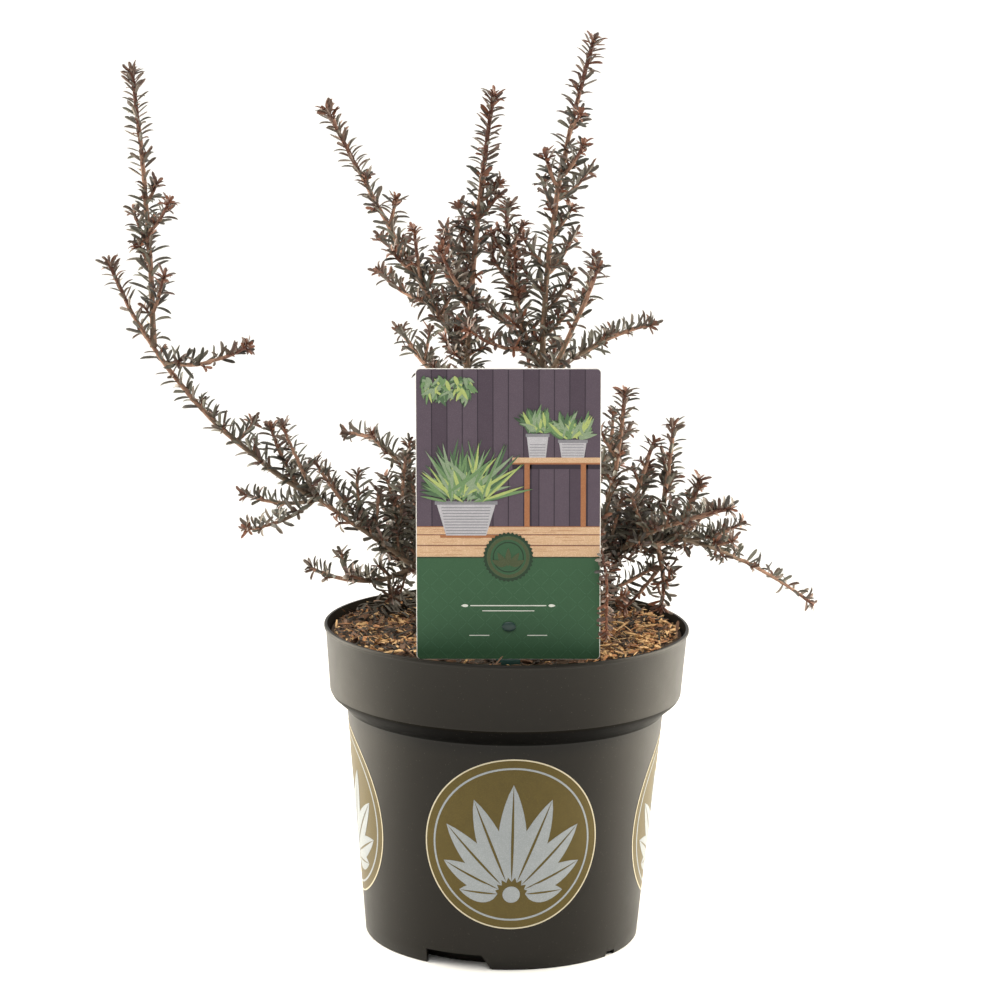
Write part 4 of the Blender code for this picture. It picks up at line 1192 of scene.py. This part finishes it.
class Limb:
    """One tapering limb on a bent line, which wanders a little between its two ends."""

    def __init__(self, start, tip, bow, thick, thin, flare=0.0, flare_run=None):
        self.start = Vector(start)
        self.tip = Vector(tip)
        self.bow = Vector(bow)
        self.thick = thick
        self.thin = thin
        self.flare = flare
        self.length = (self.tip - self.start).length
        self.flare_run = flare_run or self.length / 4.0

    def point(self, t):
        middle = 4.0 * t * (1.0 - t)
        reach = min(WANDER, self.length / 60.0)
        wander = noise.noise_vector(self.tip + UP * (t * self.length / WANDER_RUN))
        return self.start.lerp(self.tip, t) + self.bow * middle + wander * (reach * min(1.0, 2.0 * middle))

    def tangent(self, t):
        return (self.tip - self.start + self.bow * (4.0 * (1.0 - 2.0 * t))).normalized()

    def radius(self, t):
        flare = self.flare * max(0.0, 1.0 - t * self.length / self.flare_run) ** 2
        return self.thick + (self.thin - self.thick) * t + flare

    def rings(self, spacing):
        """The share, the frame and the radius of each ring, with two small ones that round the tip."""
        turn = self.tangent(0.0).to_track_quat("Z", "Y")
        before = self.tangent(0.0)
        count = max(3, round(self.length / spacing))
        for i in range(count + 3):
            t = min(1.0, i / count)
            beyond = max(0, i - count)
            ahead = self.tangent(t)
            turn = before.rotation_difference(ahead) @ turn
            before = ahead
            radius = self.radius(t) * (1.0, 0.8, 0.35)[beyond]
            centre = self.point(t) + ahead * (self.thin * (0.0, 0.45, 0.7)[beyond])
            yield t, centre, turn.to_matrix().to_4x4(), radius

    def skin(self, sides, spacing, depth, grain, tint_at=None):
        """The limb's closed skin, with a relief that runs along it."""
        bm = bmesh.new()
        ops.create_circle(bm, cap_ends=True, radius=1.0, segments=sides)
        cap = bm.faces[:][0]
        placed_by = Matrix.Identity(4)
        made = []
        for i, (t, centre, turn, radius) in enumerate(self.rings(spacing)):
            ring = Matrix.Translation(centre) @ turn @ Matrix.Diagonal((radius,) * 3).to_4x4()
            if i:
                grown = ops.extrude_face_region(bm, geom=[cap])["geom"]
                if i > 1:
                    ops.delete(bm, geom=[cap], context="FACES_ONLY")
                cap = next(g for g in grown if isinstance(g, bmesh.types.BMFace))
            ops.transform(bm, matrix=ring @ placed_by.inverted(), verts=cap.verts[:])
            placed_by = ring
            made.append((t, centre, cap.verts[:]))
        face_out(bm)
        for t, centre, verts in made[:-2]:
            for vert in verts:
                out = (vert.co - centre).normalized()
                spot = out * 2.4 + self.tip + UP * (t * self.length / grain)
                vert.co += out * depth * (noise.noise(spot) + 0.5 * noise.noise(spot * 2.3))
        if tint_at:
            for t, centre, verts in made:
                for vert in verts:
                    for face in vert.link_faces:
                        face.material_index = tint_at(t)
        return bm


def direction(heading_deg, rise_deg):
    heading, rise = math.radians(heading_deg), math.radians(rise_deg)
    return Vector(
        (math.cos(rise) * math.cos(heading), math.cos(rise) * math.sin(heading), math.sin(rise))
    )


def around(tangent, turn):
    """A unit vector square to the tangent, turned about it."""
    side = tangent.orthogonal().normalized()
    return side * math.cos(turn) + tangent.cross(side) * math.sin(turn)


def node_of(mass):
    return f"{mass}_foliage"


def twigs_of(name, mass, stem):
    """The mass's own twigs, then the short spurs that the seeded rule adds between them."""
    for at, heading, rise, length in mass.twigs:
        yield within(stem, at, direction(heading, rise), length)
    dice = random.Random(node_of(name))
    for i in range(mass.spurs):
        at = SPUR_FROM + SPUR_RUN * (i + dice.uniform(0.2, 0.8)) / mass.spurs
        out = around(stem.tangent(at), i * GOLDEN_TURN + dice.uniform(0.0, 1.0))
        lean = math.radians(SPUR_LEAN_DEG)
        way = stem.tangent(at) * math.cos(lean) + out * math.sin(lean) + UP * SPUR_LIFT
        yield within(stem, at, way.normalized(), dice.uniform(*SPUR_LENGTHS))


def within(stem, at, way, length):
    start = stem.point(at)
    return Limb(start, start + way * length, UP * (-TWIG_SAG * length), TWIG_THICK, TWIG_THIN)


def clear_of_made_things(point):
    """Whether a leaf at this point keeps off the compost, the pot's rim, the card and its stake."""
    x, y, z = point
    far = math.hypot(x, y)
    if z < SOIL + 4.5 and far < RIM_RADIUS + 2.0:
        return False
    if z < POT_HEIGHT + CARD_REACH and BAND_TOP_RADIUS - WALL - CARD_REACH < far < RIM_RADIUS + CARD_REACH:
        return False
    from_middle = abs(x - CARD_FOOT.x + (z - CARD_FOOT.z) * math.tan(math.radians(CARD_TURN_DEG)))
    half_depth = STAKE_HALF_DEPTH if from_middle < STAKE_WIDTH else CARD_THICKNESS / 2
    across = from_middle < CARD_WIDTH / 2 + CARD_REACH
    upward = CARD_FOOT.z - CARD_REACH < z < CARD_FOOT.z + CARD_HEIGHT + CARD_REACH
    return not (across and upward and abs(y - CARD_FOOT.y) < half_depth + CARD_REACH)


class Crown:
    """All limbs and shoots of the plant, and every leaf and bud on them."""

    def __init__(self, low, high):
        self.low = low
        self.high = high
        self.dice = random.Random("crown")
        trunk = Limb(TRUNK_FOOT, TRUNK_TIP, (1.5, 0.0, 0.0), TRUNK_THICK, TRUNK_THIN, TRUNK_FLARE)
        self.boughs = {"trunk": trunk}
        for name, row in BOUGHS.items():
            start = self.boughs[row.parent].point(row.at)
            self.boughs[name] = Limb(start, row.tip, row.bow, row.thick, 0.85 * row.thin)
        self.shoots = []
        self.leaves = {tint: [] for tint in LEAF_TINTS}
        self.cushions = []
        self.grow_masses()
        self.grow_boughs()

    def grow_masses(self):
        limbs = dict(self.boughs)
        for name, mass in MASSES.items():
            parent = limbs[mass.parent]
            start = parent.point(mass.at)
            flare = max(0.4, parent.thin - STEM_THICK) if mass.at >= 1.0 else 0.5
            tip = Vector(mass.tip)
            tip -= (tip - start).normalized() * TUFT_HEIGHT
            slim = LEAF_SIZES.get(name, (LONG_LEAF, SHORT_LEAF))[0] / LONG_LEAF
            thick, thin = STEM_THICK * slim, (STEM_THIN + 0.15) * slim
            limbs[name] = Limb(start, tip, mass.bow, thick, thin, flare, 16.0)
        for name, mass in MASSES.items():
            stem = limbs[name]
            youth = YOUTH.get(name, USUAL_YOUTH)
            long, short = LEAF_SIZES.get(name, (LONG_LEAF, SHORT_LEAF))
            spacing = LEAF_SPACING * LEAF_GAPS.get(name, 1.0)
            main = Shoot(stem, 3.0, spacing, long, short, youth, STEM_TUFT)
            self.shoots.append(main)
            if name in THICKETS:
                self.side_shoots(main, THICKETS[name], 30.0, (6.0, 16.0), 0.5)
            self.side_shoots(main, 9.0, 22.0, (3.0, 8.0))
            for twig in twigs_of(name, mass, stem):
                if self.has_room(twig):
                    long, short = LONG_LEAF - 1.5, SHORT_LEAF - 0.6
                    made = Shoot(twig, 2.0, LEAF_SPACING, long, short, youth + 0.1, TWIG_TUFT)
                    self.shoots.append(made)
                    if twig.length > 24.0:
                        self.side_shoots(made, 9.0, 22.0, (3.0, 7.0))

        for name, rows in FURTHER_SHOOTS.items():
            youth = YOUTH.get(name, YOUTH_ON_BOUGHS)
            for at, heading, rise, length in rows:
                shoot = within(limbs[name], at, direction(heading, rise), length)
                if self.has_room(shoot):
                    made = Shoot(shoot, 1.5, 1.0, LONG_LEAF, SHORT_LEAF, youth, TWIG_TUFT)
                    self.shoots.append(made)
                    self.side_shoots(made, 7.0, 16.0, (3.0, 8.0))

    def grow_boughs(self):
        """Boughs carry old leaves and many side shoots, but for the boughs' feet by the trunk."""
        for name, limb in self.boughs.items():
            if name != "trunk":
                every = THICKETS.get(name, 8.0)
                old = Shoot(limb, 0.3 * limb.length, 1.6, LONG_LEAF + 1.5, LONG_LEAF + 0.5, 0.05, 0)
                self.shoots.append(old)
                self.side_shoots(old, every, every, (8.0, 20.0), 0.5)

    def side_shoots(self, parent, at_foot, at_tip, lengths, forward=0.0):
        """Short shoots that stand where older leaves fell, shorter and fewer towards the tip.

        A share of them turns forward, where the picture shows the wood hidden.
        """
        limb = parent.limb
        far = parent.bare
        turn = 0.0
        while True:
            far += self.dice.uniform(0.6, 1.4) * (at_foot + (at_tip - at_foot) * far / limb.length)
            at = far / limb.length
            if at > SIDE_SHOOT_TO:
                return
            ahead = limb.tangent(at)
            turn += GOLDEN_TURN + self.dice.uniform(-0.5, 0.5)
            lean = math.radians(self.dice.uniform(36.0, 62.0))
            way = ahead * math.cos(lean) + around(ahead, turn) * math.sin(lean) + UP * 0.25
            if self.dice.random() < forward:
                way.y = -abs(way.y) - 0.3
            way.normalize()
            start = limb.point(at)
            length = self.dice.uniform(*lengths) * (1.0 - 0.6 * at)
            if self.free(start + way * (length + 4.0)) and self.free(start + way * length * 0.5):
                spur = Limb(start, start + way * length, UP * 0.02 * length, 0.7, 0.55)
                youth = min(1.0, parent.youth + 0.2 * at + 0.1)
                long = LONG_LEAF - 1.5 - 3.0 * at
                self.shoots.append(Shoot(spur, 1.6, 1.0, long, 0.75 * long, youth, SPUR_TUFT))

    def has_room(self, limb):
        return self.free(limb.point(0.5)) and self.free(limb.tip)

    def free(self, point):
        rows = zip(self.low, point, self.high)
        inside = all(low + BOX_MARGIN < x < high - BOX_MARGIN for low, x, high in rows)
        return inside and clear_of_made_things(point)

    def leaf_out(self):
        for shoot in self.shoots:
            self.side_leaves(shoot)
            self.tip_leaves(shoot)

    def side_leaves(self, shoot):
        """Leaves in a spiral. On a level shoot, most of those that start below turn up past its sides."""
        dice, limb = self.dice, shoot.limb
        count = max(1, round((limb.length - shoot.bare) / shoot.spacing))
        for k in range(count):
            share = 1.0 - (1.0 - (k + dice.uniform(0.3, 0.7)) / count) ** 1.25
            t = (shoot.bare + share * (limb.length - shoot.bare)) / limb.length
            ahead = limb.tangent(t)
            level = math.hypot(ahead.x, ahead.y)
            out = around(ahead, k * GOLDEN_TURN + dice.uniform(-0.3, 0.3))
            if out.z < -0.3 and dice.random() < 0.6 * level:
                continue
            if limb.length > BALD_FROM_LENGTH and t < 0.9 and dice.random() < bald(limb, t):
                continue
            lean = math.radians(dice.uniform(*LEAF_LEAN_DEG) - 16.0 * t ** 8)
            out = (out + UP * (LEAF_LIFT * level)).normalized()
            way = (ahead * math.cos(lean) + out * math.sin(lean)).normalized()
            size = shoot.long + (shoot.short - shoot.long) * t ** 1.6
            root = limb.point(t) + out * (limb.radius(t) * 0.75)
            self.add_leaf(root, way, ahead, size * dice.uniform(0.82, 1.12), self.tint(shoot, t))
            wood = wood_number(shoot.youth, t)
            self.cushions.append((limb.point(t), out, ahead, limb.radius(t), wood))

    def tip_leaves(self, shoot):
        """The tuft of short young leaves at a shoot's tip."""
        ahead = shoot.limb.tangent(1.0)
        for k in range(shoot.tuft):
            share = (k + 0.5) / shoot.tuft
            out = around(ahead, k * GOLDEN_TURN)
            spread = 52.0 if shoot.tuft > SPUR_TUFT else 30.0
            lean = math.radians(14.0 + spread * share + self.dice.uniform(-8.0, 8.0))
            way = ahead * math.cos(lean) + out * math.sin(lean)
            root = shoot.limb.point(1.0) + ahead * (0.4 - 3.0 * share) + out * 0.3
            size = shoot.short * (0.5 + 0.4 * share) * self.dice.uniform(0.85, 1.15)
            fresh = 0.28 if shoot.tuft > SPUR_TUFT else 0.05
            red = self.dice.uniform(0.0, 0.4) + 0.7 * shoot.youth + fresh
            tint = next(tint for least, tint in TIP_TINTS_BY_RED if red > least)
            self.add_leaf(root, way, ahead, size, tint)

    def tint(self, shoot, t):
        age = shoot.youth * 0.55 + 0.5 * t ** 3 + self.dice.uniform(-0.14, 0.14)
        return self.dice.choice(next(tints for limit, tints in TINTS_BY_AGE if age < limit))

    def add_leaf(self, root, way, ahead, size, tint):
        while not (self.free(root + way * size) and self.free(root + way * size * 0.5)):
            size -= 1.5
            if size < LEAST_LEAF:
                return
        across = ahead.cross(way)
        if across.length < 0.05:
            across = around(way, 0.0)
        roll = self.dice.gauss(0.9 if ahead.z < -0.5 else 0.0, 0.55)
        across = Matrix.Rotation(roll, 3, way) @ across.normalized()
        face = way.cross(across)
        stretch = size / LEAF_UNIT
        wide = 0.68 + 0.32 * min(1.2, stretch)
        wide *= self.dice.uniform(0.88, 1.12)
        columns = (across * wide, face * stretch, way * stretch)
        self.leaves[tint].append((self.dice.randrange(len(LEAF_BENDS_DEG)), placed(root, *columns)))


def bald(limb, t):
    """How many leaves a long shoot has lost here. It is bare in stretches of a few leaves."""
    foot = limb.point(0.0)
    stretch = noise.noise(Vector((t * limb.length / BALD_RUN, foot.x, foot.z)))
    return min(0.7, max(0.0, 3.0 * stretch - 0.3))


def wood_number(youth, t):
    """A stem is old tan wood at its foot, then pinkish, then red-brown, and russet at a young tip."""
    age = youth * 0.55 + 0.5 * t ** 1.5
    return 0 if age < 0.33 else 1 if age < 0.6 else 2 if age < 0.82 else 3


def make_plant():
    low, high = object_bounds()
    crown = Crown(Vector(low) / MM, Vector(high) / MM)
    crown.leaf_out()
    dice = random.Random("wood")

    bark = bark_finish("grey_brown_bark", (0.03, 0.021, 0.014), (0.14, 0.096, 0.064), 2.2, 0.3)
    bm = bmesh.new()
    for limb in crown.boughs.values():
        add_to(bm, limb.skin(BARK_SIDES, BARK_STEP, BARK_DEPTH, 5.0))
    finish("bark_of_trunk_and_boughs", bm, [bark], "bark", "trunk", *BOUGHS, sharp_deg=60.0)

    woods = [
        bark_finish("tan_wood", (0.05, 0.033, 0.021), (0.17, 0.115, 0.076), 1.4, 0.12),
        bark_finish("pinkish_wood", (0.12, 0.062, 0.04), (0.3, 0.168, 0.112), 1.4, 0.1),
        bark_finish("red_brown_wood", (0.05, 0.018, 0.012), (0.15, 0.058, 0.037), 1.4, 0.1),
        bark_finish("russet_wood", (0.09, 0.028, 0.014), (0.22, 0.082, 0.04), 1.4, 0.08),
    ]
    bm = bmesh.new()
    for shoot in crown.shoots:
        if shoot.limb not in crown.boughs.values():
            def tint_at(t, youth=shoot.youth):
                return wood_number(youth + dice.uniform(-0.15, 0.15), t)

            add_to(bm, shoot.limb.skin(SHOOT_SIDES, SHOOT_STEP, SHOOT_DEPTH, 3.0, tint_at))
    finish("stems_and_twigs", bm, woods, "bark", *map(node_of, MASSES), sharp_deg=60.0)

    ridge = bmesh.new()
    ops.create_uvsphere(ridge, u_segments=6, v_segments=3, radius=1.0)
    ops.triangulate(ridge, faces=ridge.faces)
    ridge = [arrays_of(ridge)]
    for number, wood in enumerate(woods):
        places = []
        for centre, out, ahead, radius, chosen in crown.cushions:
            if chosen == number and radius < 1.9:
                side = ahead.cross(out).normalized()
                out = side.cross(ahead)
                columns = (side * 0.42, out * 0.34, ahead * 1.7)
                root = centre + out * radius * 0.9 - ahead * 1.1
                places.append((0, placed(root, *columns)))
        stamp(f"leaf_cushions_{number + 1}", ridge, places, [wood], "bark", sharp_deg=80.0)

    blades = leaf_blades()
    for tint, places in crown.leaves.items():
        stamp(f"{tint}_leaves", blades, places, leaf_paints(tint), "foliage")


def drop_leaves():
    """A few old leaves that lie on the compost."""
    dice = random.Random("fallen")
    blades = leaf_blades()
    places = []
    heaps = [(None, FALLEN_LEAVES), *LITTER]
    for middle in (heap for heap, count in heaps for _ in range(count)):
        root, turn = resting_place(dice, 1.6)
        if middle:
            x, y = dice.gauss(middle[0], 10.0), dice.gauss(middle[1], 8.0)
            root = (x, y, bed_height(x, y) + dice.uniform(1.6, 5.5))
        across, way, face = (turn.col[i] for i in (1, 0, 2))
        long = dice.uniform(0.7, 1.05)
        place = placed(root, across * -long, face * long, way * long)
        reach = LEAF_UNIT * long
        ends = (root, (root[0] + reach * way[0], root[1] + reach * way[1]))
        if all(math.hypot(*end[:2]) < 89.0 for end in ends):
            places.append((dice.randrange(len(blades)), place))
    paint = bark_finish("dry_leaf", (0.02, 0.019, 0.014), (0.085, 0.07, 0.052), 3.0, 0.05)
    stamp("fallen_leaves", blades, places, [paint, paint], "compost")


def make_stage():
    bm = bmesh.new()
    ops.create_grid(bm, x_segments=1, y_segments=1, size=30.0)
    made = stand("studio_floor", mesh_of("studio_floor", bm))
    made.data.materials.append(Paint("pale_floor", (0.9, 0.9, 0.89), 0.7).material)
    made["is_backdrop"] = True

    world = bpy.data.worlds.new("studio")
    world.use_nodes = True
    tree = world.node_tree
    backdrop = tree.nodes["Background"]
    towards = tree.nodes.new("ShaderNodeTexCoord")
    parts = tree.nodes.new("ShaderNodeSeparateXYZ")
    fade = tree.nodes.new("ShaderNodeMapRange")
    for socket, value in zip(fade.inputs[1:5], (-0.4, 0.5, SKY_IN_FRONT, SKY_BEHIND)):
        socket.default_value = value
    tree.links.new(towards.outputs["Generated"], parts.inputs[0])
    tree.links.new(parts.outputs["Y"], fade.inputs["Value"])
    tree.links.new(fade.outputs[0], backdrop.inputs["Strength"])
    backdrop.inputs["Color"].default_value = (1.0, 0.99, 0.965, 1.0)
    scene = bpy.context.scene
    scene.world = world
    scene.view_settings.view_transform = "Standard"
    for name, aim, energy, colour in (
        ("left_light", (1.0, -0.3, -0.75), 1.4, (1.0, 0.96, 0.9)),
        ("right_light", (-1.0, -0.2, -0.7), 1.1, (1.0, 0.96, 0.9)),
        ("front_light", (0.15, 0.9, -1.0), 1.7, (1.0, 0.99, 0.96)),
    ):
        add_light(name, "SUN", energy, colour, aim, "Y", angle=math.radians(SUN_ANGLE_DEG))
    for side, power in ((-1.0, 7.6), (1.0, 9.0)):
        aim = (-side, -0.14, -0.1)
        shape = {"shape": "RECTANGLE", "size": 0.8, "size_y": 0.52}
        light = add_light("side_panel", "AREA", power, (1.0, 0.91, 0.74), aim, "Z", **shape)
        light.location = (side * 0.46, 0.14, 0.27)
        light.visible_camera = False


def add_light(name, kind, energy, colour, aim, up, **settings):
    lamp = bpy.data.lights.new(name, kind)
    lamp.energy = energy
    lamp.color = colour
    for setting, value in settings.items():
        setattr(lamp, setting, value)
    light = stand(name, lamp)
    light.rotation_euler = Vector(aim).to_track_quat("-Z", up).to_euler()
    return light


def make_camera():
    lens = bpy.data.cameras.new("photo_camera")
    lens.lens = CAMERA_LENS
    lens.sensor_width = 36.0
    lens.clip_start = 0.05
    camera = stand("photo_camera", lens)
    turn = about("X", CAMERA_TILT_DEG) @ about("Z", CAMERA_ROLL_DEG)
    camera.matrix_world = Matrix.Translation(CAMERA_PLACE) @ turn.to_4x4()
    bpy.context.scene.camera = camera


def main():
    noise.seed_set(NOISE_SEED)
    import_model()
    make_plant()
    make_pot()
    make_roundels()
    make_compost()
    drop_leaves()
    make_card()
    make_card_print()
    make_stake()
    make_stage()
    make_camera()
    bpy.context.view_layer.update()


main()
